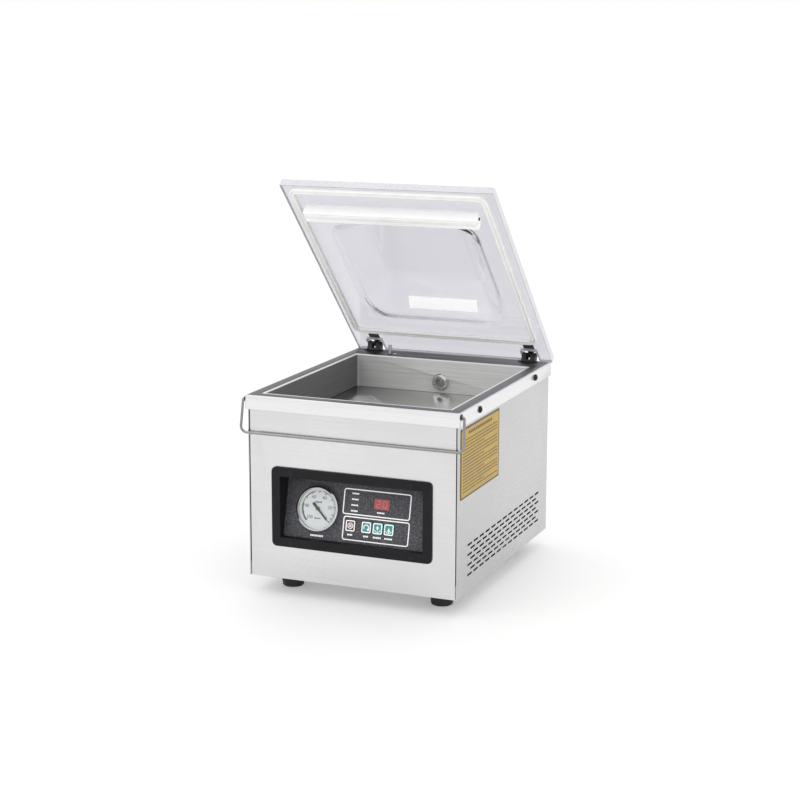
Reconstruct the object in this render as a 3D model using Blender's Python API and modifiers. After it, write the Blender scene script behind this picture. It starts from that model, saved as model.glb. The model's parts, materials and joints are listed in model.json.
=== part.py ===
"""Tabletop vacuum chamber sealer, lid open, in metres with +Z up.

The origin is on the floor under the middle of the machine. The front faces -Y and +X is to the right
of somebody who stands in front of it. The lid's pieces are drawn closed and turned open about the
hinge; the pieces of the control panel are drawn upright and leaned back about the panel's lower edge.
"""

from math import atan2, ceil, cos, hypot, pi, radians, sin, tan

import bmesh
import bpy
from mathutils import Matrix, Vector

# Overall sizes
WIDTH = 0.330
DEPTH = 0.410
FOOT_HEIGHT = 0.026
RIM_TOP = 0.295
SKIRT_HEIGHT = 0.021
PANEL_INSET = 0.0035
SHEET = 0.0015
GAP = 0.0003
RUNNING = 0.00008
TRAY_TOP = FOOT_HEIGHT + SHEET + GAP
PANEL_X = WIDTH / 2 - PANEL_INSET
PANEL_Y = DEPTH / 2 - PANEL_INSET
PANEL_HIGH = RIM_TOP - 0.0035
SEAM = 0.0015

# Vacuum chamber
CHAMBER_X = 0.1435
CHAMBER_FRONT = -0.183
CHAMBER_REAR = 0.151
CHAMBER_DEPTH = 0.052
FLOOR_TOP = RIM_TOP - CHAMBER_DEPTH
FITTING_Z = FLOOR_TOP + 0.0175
SWITCH_PLACE = (-0.096, 0.1745)

# Lid
LID_OPEN = radians(45)
LID_X = 0.1655
LID_FRONT = -0.198
LID_REAR = 0.2142
LID_GAP = 0.006
LID_THICK = 0.012
LID_UNDER = RIM_TOP + LID_GAP
LID_TOP = LID_UNDER + LID_THICK
DOME_X = 0.114
DOME_FRONT = -0.116
DOME_REAR = 0.123
DOME_RISE = 0.034
DOME_SIDE_RUN = 0.034
DOME_REAR_RUN = 0.067
DOME_WALL = 0.0085
GASKET_INSET = 0.002
GASKET_WIDTH = 0.009
PRESSURE_Y = -0.151
PRESSURE_HALF = 0.1355
PRESSURE_DROP = 0.0185
SILICONE_DROP = 0.020

# Lid hinges
PIVOT_Y = DEPTH / 2 - 0.0035
PIVOT_Z = RIM_TOP + 0.009
HINGE_X = 0.131
NOTCH_FRONT = 0.187
NOTCH_HALF = 0.013
PIN_RADIUS = 0.002
KNUCKLE_RADIUS = 0.004
KNUCKLE_HALF = 0.004
EAR_X = 0.009

# Latch bail
BAIL_RADIUS = 0.002
BAIL_PIVOT_Y = -0.200
BAIL_PIVOT_Z = RIM_TOP - 0.006
BAIL_BAR_Y = -0.2065
BAIL_BAR_Z = RIM_TOP - 0.0545
BAIL_END_X = 0.1620
BAIL_TOP_X = 0.1695
BAIL_BAR_X = 0.1715

# Seal bar
SEAL_TOP = RIM_TOP - 0.0245
SEAL_HALF = 0.134
SEAL_HEIGHT = 0.018
LIFT_X = 0.095

# Control panel
BEZEL_X = 0.124
BEZEL_LOW = 0.075
BEZEL_HIGH = 0.193
RECESS_X = 0.1105
RECESS_LOW = 0.089
RECESS_HIGH = 0.1795
BEZEL_WALL = 0.002
BEZEL_THICK = 0.003
FACE_SETBACK = 0.008
FACE_TILT = radians(13.7)
FACE_THICK = 0.0025
GAUGE_X = -0.0585
GAUGE_V = 0.044
GAUGE_RADIUS = 0.0325
NEEDLE_REST = radians(-45)
KEY_V = 0.0248
KEY_WIDTH = 0.015
KEY_HEIGHT = 0.0165
KEYS = {"key_stop": -0.0067, "key_set": 0.0180, "key_up": 0.0354, "key_down": 0.0528}
DISPLAY_X = (0.026, 0.050)
DISPLAY_V = (0.0515, 0.0675)

# Side vents
VENT_ROWS = 7
VENT_LONG = 13
VENT_PITCH_Y = 0.0252
VENT_PITCH_Z = 0.00737
VENT_LOW = 0.0512
VENT_SLOT = (0.0185, 0.003)

# Feet
FOOT_X = 0.118
FOOT_Y = 0.146
FOOT_RADIUS = 0.018

# Pump and motor share one axis, which runs front to back
SHAFT_X = 0.045
SHAFT_RADIUS = 0.0068
SHAFT_Z = 0.111

# Mains module in the rear panel
INLET_X = -0.105
INLET_Z = 0.072
ROCKER_X = INLET_X + 0.0130
ROCKER_Y = DEPTH / 2 - PANEL_INSET - 0.0040
ROCKER_TILT = radians(12)
TRUNNION_RADIUS = 0.0011

COLOURS = {
    "brushed_steel": ((0.62, 0.62, 0.61), 0.32, 1.0),
    "inner_steel": ((0.45, 0.45, 0.44), 0.28, 1.0),
    "chromed_wire": ((0.75, 0.75, 0.76), 0.12, 1.0),
    "clear_acrylic": ((0.80, 0.80, 0.85), 0.05, 0.0),
    "pale_silicone": ((0.86, 0.86, 0.80), 0.45, 0.0),
    "white_plastic": ((0.88, 0.88, 0.87), 0.35, 0.0),
    "white_paper": ((0.92, 0.92, 0.92), 0.60, 0.0),
    "amber_label": ((0.62, 0.42, 0.14), 0.50, 0.0),
    "black_plastic": ((0.035, 0.035, 0.040), 0.55, 0.0),
    "black_rubber": ((0.012, 0.012, 0.012), 0.75, 0.0),
    "black_paint": ((0.015, 0.015, 0.016), 0.40, 0.0),
    "grey_panel": ((0.075, 0.075, 0.082), 0.60, 0.0),
    "teal_key": ((0.05, 0.32, 0.30), 0.40, 0.0),
    "red_key": ((0.20, 0.03, 0.04), 0.40, 0.0),
    "red_window": ((0.55, 0.10, 0.10), 0.20, 0.0),
    "clear_glass": ((0.90, 0.92, 0.92), 0.03, 0.0),
    "cast_iron": ((0.10, 0.11, 0.12), 0.65, 0.8),
    "green_board": ((0.03, 0.16, 0.06), 0.50, 0.0),
    "tan_tape": ((0.48, 0.34, 0.20), 0.55, 0.0),
    "bar_aluminium": ((0.60, 0.61, 0.62), 0.30, 1.0),
}


# ---------------------------------------------------------------- scene and materials


def clear_scene():
    for obj in list(bpy.data.objects):
        bpy.data.objects.remove(obj, do_unlink=True)


def new_collection(name):
    collection = bpy.data.collections.new(name)
    bpy.context.scene.collection.children.link(collection)
    return collection


def material(slot):
    found = bpy.data.materials.get(slot)
    if found:
        return found
    colour, roughness, metallic = COLOURS[slot]
    made = bpy.data.materials.new(slot)
    made.use_nodes = True
    shader = made.node_tree.nodes["Principled BSDF"]
    shader.inputs["Base Color"].default_value = (*colour, 1.0)
    shader.inputs["Roughness"].default_value = roughness
    shader.inputs["Metallic"].default_value = metallic
    return made


clear_scene()
PARTS = new_collection("vacuum_chamber_sealer")
CUTTERS = new_collection("cutters")


# ---------------------------------------------------------------- shape tools


def add_part(name, mesh, slot):
    obj = bpy.data.objects.new(name, mesh)
    obj.data.materials.append(material(slot))
    PARTS.objects.link(obj)
    return obj


def add_helper(name, mesh):
    """A cutter, or a shape that a Boolean joins to a part."""
    obj = bpy.data.objects.new(name, mesh)
    CUTTERS.objects.link(obj)
    obj.hide_render = True
    obj.display_type = "WIRE"
    return obj


def cube_mesh(name, spans):
    """A box mesh from three (low, high) pairs, in the coordinates of its object."""
    bm = bmesh.new()
    for x, y, z in spans:
        size = Matrix.Diagonal((x[1] - x[0], y[1] - y[0], z[1] - z[0], 1))
        centre = Matrix.Translation(((x[0] + x[1]) / 2, (y[0] + y[1]) / 2, (z[0] + z[1]) / 2))
        bmesh.ops.create_cube(bm, size=1, matrix=centre @ size)
    mesh = bpy.data.meshes.new(name)
    bm.to_mesh(mesh)
    bm.free()
    return mesh


def box(name, x, y, z, slot):
    return add_part(name, cube_mesh(name, [(x, y, z)]), slot)


def box_helper(name, *spans):
    return add_helper(name, cube_mesh(name, spans))


def prism_mesh(name, x, outline):
    """A prism along X whose outline is a list of (y, z) points."""
    bm = bmesh.new()
    ends = [bm.faces.new([bm.verts.new((place, *point)) for point in outline]) for place in x]
    for i in range(len(outline)):
        j = (i + 1) % len(outline)
        bm.faces.new([ends[0].verts[i], ends[0].verts[j], ends[1].verts[j], ends[1].verts[i]])
    bmesh.ops.recalc_face_normals(bm, faces=bm.faces)
    mesh = bpy.data.meshes.new(name)
    bm.to_mesh(mesh)
    bm.free()
    return mesh


def rod_mesh(name, axis, centre, span, radius, sides, end_radius=None):
    """A cylinder or cone along an axis; centre holds the other two coordinates in order."""
    bm = bmesh.new()
    bmesh.ops.create_cone(
        bm,
        cap_ends=True,
        segments=sides,
        radius1=radius,
        radius2=radius if end_radius is None else end_radius,
        depth=span[1] - span[0],
    )
    turn = {"x": Matrix.Rotation(pi / 2, 4, "Y"), "y": Matrix.Rotation(-pi / 2, 4, "X"),
            "z": Matrix()}[axis]
    place = list(centre)
    place.insert("xyz".index(axis), (span[0] + span[1]) / 2)
    bmesh.ops.transform(bm, matrix=Matrix.Translation(place) @ turn, verts=bm.verts)
    mesh = bpy.data.meshes.new(name)
    bm.to_mesh(mesh)
    bm.free()
    return mesh


def rod(name, axis, centre, span, radius, slot, sides=24):
    obj = add_part(name, rod_mesh(name, axis, centre, span, radius, sides), slot)
    smooth(obj)
    return obj


def rod_helper(name, axis, centre, span, radius, sides=24):
    return add_helper(name, rod_mesh(name, axis, centre, span, radius, sides))


def smooth(obj, angle=35):
    obj.data.shade_smooth()
    obj.data.set_sharp_from_angle(angle=radians(angle))


def boolean(obj, other, operation):
    modifier = obj.modifiers.new(f"{operation}_{other.name}".lower(), "BOOLEAN")
    modifier.operation = operation
    modifier.solver = "EXACT"
    modifier.object = other


def cut(obj, *others):
    for other in others:
        boolean(obj, other, "DIFFERENCE")


def join(obj, *others):
    for other in others:
        boolean(obj, other, "UNION")


def bevel(obj, width, segments=1, angle=30):
    modifier = obj.modifiers.new("rounded_edges", "BEVEL")
    modifier.width = width
    modifier.segments = segments
    modifier.limit_method = "ANGLE"
    modifier.angle_limit = radians(angle)
    modifier.use_clamp_overlap = True


def turned(name, profile, slot, location, turn=(0, 0, 0), steps=32, closed=False):
    """A solid of revolution about its own Z. The profile's (radius, height) points run down the outside."""
    bm = bmesh.new()
    points = [bm.verts.new((radius, 0, height)) for radius, height in profile]
    for first, second in zip(points, points[1:]):
        bm.edges.new((first, second))
    if closed:
        bm.edges.new((points[-1], points[0]))
    mesh = bpy.data.meshes.new(name)
    bm.to_mesh(mesh)
    bm.free()
    obj = add_part(name, mesh, slot)
    obj.location = location
    obj.rotation_euler = turn
    screw = obj.modifiers.new("turned", "SCREW")
    screw.axis = "Z"
    screw.angle = 2 * pi
    screw.steps = steps
    screw.render_steps = steps
    screw.use_merge_vertices = True
    screw.merge_threshold = 0.00001
    screw.use_smooth_shade = True
    return obj


def wire(name, points, radius, slot, sides_level=2):
    curve = bpy.data.curves.new(name, "CURVE")
    curve.dimensions = "3D"
    curve.bevel_depth = radius
    curve.bevel_resolution = sides_level
    curve.use_fill_caps = True
    spline = curve.splines.new("POLY")
    spline.points.add(len(points) - 1)
    for place, point in zip(spline.points, points):
        place.co = (*point, 1)
    return add_part(name, curve, slot)


def rounded_route(corners, radius, step_angle=radians(18)):
    """The corner points joined by straight runs, with an arc of this radius at each inner corner."""
    corners = [Vector(corner) for corner in corners]
    route = [corners[0]]
    for before, corner, after in zip(corners, corners[1:], corners[2:]):
        arrive = (corner - before).normalized()
        leave = (after - corner).normalized()
        bend = arrive.angle(leave)
        setback = radius * tan(bend / 2)
        start = corner - arrive * setback
        inward = (leave - arrive * arrive.dot(leave)).normalized()
        centre = start + inward * radius
        steps = max(2, ceil(bend / step_angle))
        for i in range(steps + 1):
            angle = bend * i / steps
            route.append(centre - inward * radius * cos(angle) + arrive * radius * sin(angle))
    route.append(corners[-1])
    return route


def rounded_slab(name, x, y, z, radius, segments=4):
    """A box whose four upright edges are rounded."""
    bm = bmesh.new()
    size = Matrix.Diagonal((x[1] - x[0], y[1] - y[0], z[1] - z[0], 1))
    centre = Matrix.Translation(((x[0] + x[1]) / 2, (y[0] + y[1]) / 2, (z[0] + z[1]) / 2))
    bmesh.ops.create_cube(bm, size=1, matrix=centre @ size)
    upright = [e for e in bm.edges if abs((e.verts[0].co - e.verts[1].co).z) > 0.9 * (z[1] - z[0])]
    bmesh.ops.bevel(bm, geom=upright, offset=radius, segments=segments, profile=0.5, affect="EDGES")
    mesh = bpy.data.meshes.new(name)
    bm.to_mesh(mesh)
    bm.free()
    return mesh


def axis_empty(name, location, turn=(0, 0, 0)):
    empty = bpy.data.objects.new(name, None)
    empty.location = location
    empty.rotation_euler = turn
    empty.empty_display_size = 0.02
    PARTS.objects.link(empty)
    return empty


def hang(empty, *objects):
    """Parents objects drawn in world coordinates, so that they turn with the empty about its origin."""
    for obj in objects:
        obj.parent = empty
        obj.matrix_parent_inverse = Matrix.Translation(-empty.location)


def attach(empty, *objects):
    """Parents objects drawn in the empty's own coordinates."""
    for obj in objects:
        obj.parent = empty


# ---------------------------------------------------------------- casing


def make_chamber_tank():
    """The drawn rim, its turned-down skirt and the tank, all of one sheet."""
    rim = add_part(
        "chamber_tank",
        rounded_slab("rim", (-WIDTH / 2, WIDTH / 2), (-DEPTH / 2, DEPTH / 2),
                     (RIM_TOP - SKIRT_HEIGHT, RIM_TOP), 0.003, 3),
        "brushed_steel",
    )
    bevel(rim, 0.0012, 2, angle=60)
    inner_x = WIDTH / 2 - SHEET
    inner_y = DEPTH / 2 - SHEET
    under = box_helper("cut_under_rim", ((-inner_x, inner_x), (-inner_y, inner_y),
                                         (RIM_TOP - SKIRT_HEIGHT - 0.01, RIM_TOP - SHEET)))
    tank = box_helper("tank_outside", ((-CHAMBER_X - SHEET, CHAMBER_X + SHEET),
                                       (CHAMBER_FRONT - SHEET, CHAMBER_REAR + SHEET),
                                       (FLOOR_TOP - SHEET, RIM_TOP - SHEET / 2)))
    hollow = add_helper("cut_chamber", rounded_slab("cut_chamber", (-CHAMBER_X, CHAMBER_X),
                                                    (CHAMBER_FRONT, CHAMBER_REAR),
                                                    (FLOOR_TOP, RIM_TOP + 0.01), 0.004, 3))
    fitting_hole = rod_helper("cut_suction_hole", "y", (0, FITTING_Z), (0.14, 0.16), 0.0073)
    switch_hole = rod_helper("cut_switch_hole", "z", SWITCH_PLACE, (RIM_TOP - 0.01, RIM_TOP + 0.01),
                             0.0031, 16)
    cut(rim, under)
    join(rim, tank)
    cut(rim, hollow, fitting_hole, switch_hole)
    for side in (-1, 1):
        cut(rim, rod_helper(f"cut_lift_hole_{side}", "z", (side * LIFT_X, PRESSURE_Y),
                            (FLOOR_TOP - 0.01, FLOOR_TOP + 0.01), 0.0123))
        cut(rim, rod_helper(f"cut_bail_hole_{side}", "x", (BAIL_PIVOT_Y, BAIL_PIVOT_Z),
                            sorted((side * 0.155, side * 0.175)), 0.0036, 16))
    return rim


def make_base_tray():
    """The folded tray that carries the feet and the machinery."""
    x = PANEL_X - SHEET - GAP
    y = PANEL_Y - SHEET - GAP
    tray = box("base_tray", (-x, x), (-y, y), (FOOT_HEIGHT, FOOT_HEIGHT + 0.020), "inner_steel")
    cut(tray, box_helper("cut_tray", ((-x + SHEET, x - SHEET), (-y + SHEET, y - SHEET),
                                      (FOOT_HEIGHT + SHEET, FOOT_HEIGHT + 0.04))))
    return tray


def make_front_panel():
    x = PANEL_X - SHEET - SEAM
    panel = box("front_panel", (-x, x), (-PANEL_Y, -PANEL_Y + SHEET), (FOOT_HEIGHT, PANEL_HIGH),
                "brushed_steel")
    margin = BEZEL_WALL + 0.0008
    opening = RECESS_X + margin
    cut(panel, box_helper("cut_panel_opening", ((-opening, opening), (-PANEL_Y - 0.01, -PANEL_Y + 0.01),
                                                (RECESS_LOW - margin, RECESS_HIGH + margin))))
    return panel


def vent_spans(side):
    """Seven staggered rows of slots through one side panel."""
    length, height = VENT_SLOT
    reach = sorted((side * (PANEL_X - 0.01), side * (PANEL_X + 0.01)))
    spans = []
    for row in range(VENT_ROWS):
        count = VENT_LONG - row % 2
        z = VENT_LOW + row * VENT_PITCH_Z
        for i in range(count):
            y = (i - (count - 1) / 2) * VENT_PITCH_Y
            spans.append((reach, (y - length / 2, y + length / 2), (z - height / 2, z + height / 2)))
    return spans


def make_side_panel(name, side):
    x = sorted((side * (PANEL_X - SHEET), side * PANEL_X))
    panel = box(name, x, (-PANEL_Y, PANEL_Y), (FOOT_HEIGHT, PANEL_HIGH), "brushed_steel")
    cut(panel, box_helper(f"cut_vents_{name}", *vent_spans(side)))
    return panel


def make_rear_panel():
    x = PANEL_X - SHEET - SEAM
    panel = box("rear_panel", (-x, x), (PANEL_Y - SHEET, PANEL_Y), (FOOT_HEIGHT, PANEL_HIGH),
                "brushed_steel")
    through = (PANEL_Y - 0.01, PANEL_Y + 0.01)
    cut(panel, box_helper("cut_inlet_opening", ((INLET_X - 0.0258, INLET_X + 0.0258), through,
                                                (INLET_Z - 0.0143, INLET_Z + 0.0143))))
    spans = []
    for i in range(7):
        for row in range(4):
            x = -0.045 + i * 0.022
            z = 0.066 + row * 0.012
            spans.append(((x, x + 0.014), through, (z, z + 0.0035)))
    cut(panel, box_helper("cut_rear_vents", *spans))
    return panel


def make_instruction_label():
    """The notice on the right side panel."""
    return box("instruction_label", (PANEL_X + GAP, PANEL_X + 2 * GAP), (-0.192, -0.033), (0.168, 0.269),
               "amber_label")


def make_foot(name, x, y):
    """A rubber cup screwed up under the tray."""
    profile = [(0, FOOT_HEIGHT - GAP), (FOOT_RADIUS, FOOT_HEIGHT - GAP), (FOOT_RADIUS, FOOT_HEIGHT - 0.008),
               (FOOT_RADIUS * 0.88, 0.0015), (FOOT_RADIUS * 0.80, 0), (0, 0)]
    return turned(name, profile, "black_rubber", (x, y, 0), steps=20)


# ---------------------------------------------------------------- chamber fittings


def make_suction_fitting():
    """A flanged tube through the tank's back wall, with a spigot that points down behind it."""
    axis = (0, FITTING_Z)
    fitting = rod("suction_fitting", "y", axis, (CHAMBER_REAR - 0.0095, 0.183), 0.007, "inner_steel", 24)
    flange = rod_helper("fitting_flange", "y", axis, (CHAMBER_REAR - 0.0025, CHAMBER_REAR - GAP),
                        0.0135, 24)
    spigot = rod_helper("fitting_spigot", "z", (0, 0.175), (FLOOR_TOP - 0.0005, FITTING_Z), 0.0065, 16)
    bore = rod_helper("cut_fitting_bore", "y", axis, (0.13, 0.179), 0.005, 20)
    down = rod_helper("cut_spigot_bore", "z", (0, 0.175), (FLOOR_TOP - 0.01, FITTING_Z), 0.0042, 12)
    join(fitting, flange, spigot)
    cut(fitting, bore, down)
    return fitting


def make_suction_nut():
    span = (CHAMBER_REAR - 0.0085, CHAMBER_REAR - 0.0025 - GAP)
    nut = rod("suction_nut", "y", (0, FITTING_Z), span, 0.0118, "chromed_wire", 6)
    cut(nut, rod_helper("cut_nut_bore", "y", (0, FITTING_Z), (0.13, 0.16), 0.0074, 24))
    bevel(nut, 0.0006)
    return nut


def make_seal_bar():
    """Bar, heating ribbon and tape: the ribbon lies on the bar and the tape folds over both."""
    y = (PRESSURE_Y - 0.007, PRESSURE_Y + 0.007)
    bar = box("seal_bar", (-SEAL_HALF, SEAL_HALF), y, (SEAL_TOP - SEAL_HEIGHT, SEAL_TOP), "bar_aluminium")
    for side in (-1, 1):
        end = sorted((side * (SEAL_HALF - 0.008), side * (SEAL_HALF + 0.01)))
        cut(bar, box_helper(f"cut_clamp_step_{side}", (end, (y[0] - 0.01, y[1] + 0.01),
                                                       (SEAL_TOP - 0.006, SEAL_TOP + 0.01))))
    reach = SEAL_HALF - 0.009
    ribbon = box("heating_ribbon", (-reach, reach), (PRESSURE_Y - 0.0025, PRESSURE_Y + 0.0025),
                 (SEAL_TOP + GAP / 2, SEAL_TOP + GAP), "chromed_wire")
    tape = box("seal_tape", (-reach, reach), (y[0] - 0.0006, y[1] + 0.0006),
               (SEAL_TOP - 0.008, SEAL_TOP + 0.0007),
               "tan_tape")
    cut(tape, box_helper("cut_tape", ((-SEAL_HALF, SEAL_HALF), (y[0] - GAP, y[1] + GAP),
                                      (0.2, SEAL_TOP + 0.0004))))
    return bar, ribbon, tape


def make_lift(side, word):
    """One lift cylinder under the chamber floor and the plunger that raises the seal bar."""
    x = side * LIFT_X
    flange_low = FLOOR_TOP + GAP
    collar = [(0.0075, FLOOR_TOP + 0.008), (0.0115, FLOOR_TOP + 0.008), (0.0115, FLOOR_TOP + 0.0023)]
    flange = [(0.016, FLOOR_TOP + 0.0023), (0.016, flange_low), (0.0118, flange_low)]
    barrel = [(0.0118, FLOOR_TOP - 0.031), (0, FLOOR_TOP - 0.031), (0, FLOOR_TOP - 0.0285),
              (0.0075, FLOOR_TOP - 0.0285)]
    profile = collar + flange + barrel
    place = (x, PRESSURE_Y)
    cylinder = turned(f"lift_cylinder_{word}", profile, "bar_aluminium", (*place, 0), steps=24, closed=True)
    span = (FLOOR_TOP - 0.0225, SEAL_TOP - SEAL_HEIGHT - GAP)
    plunger = rod(f"lift_plunger_{word}", "z", place, span, 0.00735, "white_plastic", 20)
    return cylinder, plunger


def make_lid_switch():
    """A limit switch hung under the rim, and the pin that the lid presses."""
    x, y = SWITCH_PLACE
    switch = box("lid_switch", (x - 0.010, x + 0.010), (y - 0.006, y + 0.006),
                 (RIM_TOP - 0.042, RIM_TOP - 0.021),
                 "black_plastic")
    cut(switch, rod_helper("cut_switch_bore", "z", (x, y), (RIM_TOP - 0.0345, RIM_TOP - 0.009),
                           0.00182, 16))
    join(switch, box_helper("switch_tongue", ((x - 0.0095, x - 0.0050), (y - 0.004, y + 0.004),
                                              (RIM_TOP - 0.022, RIM_TOP - SHEET - GAP))))
    head = [(0, RIM_TOP + 0.014), (0.0022, RIM_TOP + 0.014), (0.0027, RIM_TOP + 0.013),
            (0.0027, RIM_TOP - 0.0115)]
    stem = [(0.0017, RIM_TOP - 0.0115), (0.0017, RIM_TOP - 0.024), (0, RIM_TOP - 0.024)]
    profile = head + stem
    pin = turned("lid_switch_pin", profile, "chromed_wire", (x, y, 0), steps=16)
    return switch, pin


# ---------------------------------------------------------------- lid


def dome_rect(height, offset):
    """The dome's outline at a height over the lid's underside, offset outwards from the cavity's wall."""
    side = DOME_SIDE_RUN * height / DOME_RISE
    rear = DOME_REAR_RUN * height / DOME_RISE
    side_offset = offset * hypot(DOME_SIDE_RUN, DOME_RISE) / DOME_RISE
    rear_offset = offset * hypot(DOME_REAR_RUN, DOME_RISE) / DOME_RISE
    x = DOME_X - side + side_offset
    return (-x, x), (DOME_FRONT + side - side_offset, DOME_REAR - rear + rear_offset)


def dome_block(name, low, high, offset, radius):
    """A block that tapers with the dome, with rounded corner edges and a softened top edge."""
    bm = bmesh.new()
    bmesh.ops.create_cube(bm, size=2)
    for vert in bm.verts:
        height = high if vert.co.z > 0 else low
        x, y = dome_rect(height, offset)
        vert.co = Vector((x[vert.co.x > 0], y[vert.co.y > 0], LID_UNDER + height))
    ridge = [e for e in bm.edges if abs(e.verts[0].co.z - e.verts[1].co.z) > 1e-6]
    bmesh.ops.bevel(bm, geom=ridge, offset=radius, segments=5, profile=0.5, affect="EDGES")
    top = [e for e in bm.edges if min(v.co.z for v in e.verts) > LID_UNDER + high - 1e-6]
    bmesh.ops.bevel(bm, geom=top, offset=0.006, segments=2, profile=0.5, affect="EDGES")
    mesh = bpy.data.meshes.new(name)
    bm.to_mesh(mesh)
    bm.free()
    return add_helper(name, mesh)


def make_lid_shell():
    """A thick clear plate with a raised dome, notched at the rear for the hinge brackets."""
    plate = rounded_slab("lid", (-LID_X, LID_X), (LID_FRONT, LID_REAR), (LID_UNDER, LID_TOP), 0.004, 2)
    lid = add_part("lid_shell", plate, "clear_acrylic")
    bevel(lid, 0.001, 1, angle=60)
    join(lid, dome_block("dome_outside", LID_THICK - 0.004, DOME_RISE + DOME_WALL, DOME_WALL, 0.028))
    cut(lid, dome_block("cut_dome", -0.004, DOME_RISE, 0, 0.022))
    for side in (-1, 1):
        x = side * HINGE_X
        cut(lid, box_helper(f"cut_hinge_notch_{side}", ((x - NOTCH_HALF, x + NOTCH_HALF),
                                                       (NOTCH_FRONT, LID_REAR + 0.01),
                                                       (LID_UNDER - 0.01, LID_TOP + 0.01))))
    return lid


def make_lid_gasket():
    low = LID_UNDER - LID_GAP + GAP
    high = LID_UNDER - GAP
    inner_x = CHAMBER_X + GASKET_INSET
    inner_y = (CHAMBER_FRONT - GASKET_INSET, CHAMBER_REAR + GASKET_INSET)
    outer_x = inner_x + GASKET_WIDTH
    outer_y = (inner_y[0] - GASKET_WIDTH, inner_y[1] + GASKET_WIDTH)
    outside = rounded_slab("gasket", (-outer_x, outer_x), outer_y, (low, high), 0.014, 4)
    ring = add_part("lid_gasket", outside, "pale_silicone")
    cut(ring, add_helper("cut_gasket", rounded_slab("cut_gasket", (-inner_x, inner_x), inner_y,
                                                    (low - 0.01, high + 0.01), 0.007, 4)))
    return ring


def make_pressure_bar():
    """The holder under the lid and the silicone strip in its groove, which the seal bar presses on."""
    y = (PRESSURE_Y - 0.0075, PRESSURE_Y + 0.0130)
    z = (LID_UNDER - PRESSURE_DROP, LID_UNDER - GAP)
    bar = box("pressure_bar", (-PRESSURE_HALF, PRESSURE_HALF), y, z, "white_plastic")
    cut(bar, box_helper("cut_strip_groove", ((-0.2, 0.2), (PRESSURE_Y - 0.0045, PRESSURE_Y + 0.0045),
                                             (LID_UNDER - 0.04, LID_UNDER - PRESSURE_DROP + 0.006))))
    strip = box("silicone_strip", (-PRESSURE_HALF + 0.001, PRESSURE_HALF - 0.001),
                (PRESSURE_Y - 0.0042, PRESSURE_Y + 0.0042),
                (LID_UNDER - SILICONE_DROP, LID_UNDER - PRESSURE_DROP + 0.006 - GAP), "pale_silicone")
    return bar, strip


def make_lid_sticker():
    """A blank sticker on the inside of the dome's rear slope."""
    slope = atan2(DOME_RISE, DOME_REAR_RUN)
    middle = 0.43 * DOME_RISE
    _, y = dome_rect(middle, 0)
    out = Vector((0, sin(slope), cos(slope)))
    centre = Vector((0.010, y[1], LID_UNDER + middle)) - out * 0.0007
    sticker = box("lid_sticker", (-0.0565, 0.0565), (-0.0105, 0.0105), (-0.0002, 0.0002),
                  "white_paper")
    sticker.matrix_basis = Matrix.Translation(centre) @ Matrix.Rotation(-slope, 4, "X")
    return sticker


def make_hinge_leaf(side, word):
    """A plate on the lid's top whose knuckle reaches down through the notch to the pin."""
    x = side * HINGE_X
    leaf = box(f"hinge_leaf_{word}", (x - 0.0085, x + 0.0085), (0.1795, PIVOT_Y + 0.004),
               (LID_TOP + GAP, LID_TOP + 0.0023), "black_paint")
    pivot = (PIVOT_Y, PIVOT_Z)
    span = (x - KNUCKLE_HALF, x + KNUCKLE_HALF)
    web = box_helper(f"leaf_web_{word}", (span, (PIVOT_Y - 0.003, PIVOT_Y + 0.003),
                                          (PIVOT_Z, LID_TOP + 0.001)))
    knuckle = rod_helper(f"leaf_knuckle_{word}", "x", pivot, span, KNUCKLE_RADIUS, 20)
    bore = rod_helper(f"cut_knuckle_{word}", "x", pivot, (x - 0.02, x + 0.02), PIN_RADIUS + RUNNING, 20)
    join(leaf, web, knuckle)
    cut(leaf, bore)
    return leaf


def make_hinge_bracket(side, word):
    """A folded bracket on the rim: foot, leaning front web with a slot, and two ears for the pin."""
    x = side * HINGE_X
    front = 0.1865
    rear = DEPTH / 2 - 0.0015
    top = RIM_TOP + 0.0142
    foot_top = RIM_TOP + GAP + SHEET
    lean = 0.0065
    outline = [(front, RIM_TOP + GAP), (rear, RIM_TOP + GAP), (rear, top), (front + lean, top),
               (front, foot_top)]
    inside = [(front + 0.0018, foot_top), (rear + 0.01, foot_top), (rear + 0.01, top + 0.01),
              (front + 0.0018 + lean + 0.005, top + 0.01)]
    folded = prism_mesh("bracket", (x - EAR_X - SHEET, x + EAR_X + SHEET), outline)
    bracket = add_part(f"hinge_bracket_{word}", folded, "black_paint")
    hollow = add_helper(f"cut_bracket_{word}", prism_mesh("cut_bracket", (x - EAR_X, x + EAR_X), inside))
    tabs = box_helper(f"bracket_tabs_{word}", ((x - 0.0155, x + 0.0155), (front + 0.001, front + 0.009),
                                               (RIM_TOP + GAP + 0.0001, foot_top - 0.0001)))
    slot = box_helper(f"cut_bracket_slot_{word}", ((x - 0.0030, x + 0.0030), (0.18, PIVOT_Y - 0.006),
                                                   (RIM_TOP + 0.0045, RIM_TOP + 0.0115)))
    bore = rod_helper(f"cut_ears_{word}", "x", (PIVOT_Y, PIVOT_Z), (x - 0.02, x + 0.02),
                      PIN_RADIUS + RUNNING, 20)
    cut(bracket, hollow)
    join(bracket, tabs)
    cut(bracket, slot, bore)
    return bracket


def make_hinge_pin(side, word):
    x = side * HINGE_X
    reach = EAR_X + SHEET + 0.0012
    return rod(f"hinge_pin_{word}", "x", (PIVOT_Y, PIVOT_Z), (x - reach, x + reach), PIN_RADIUS,
               "chromed_wire", 16)


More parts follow.
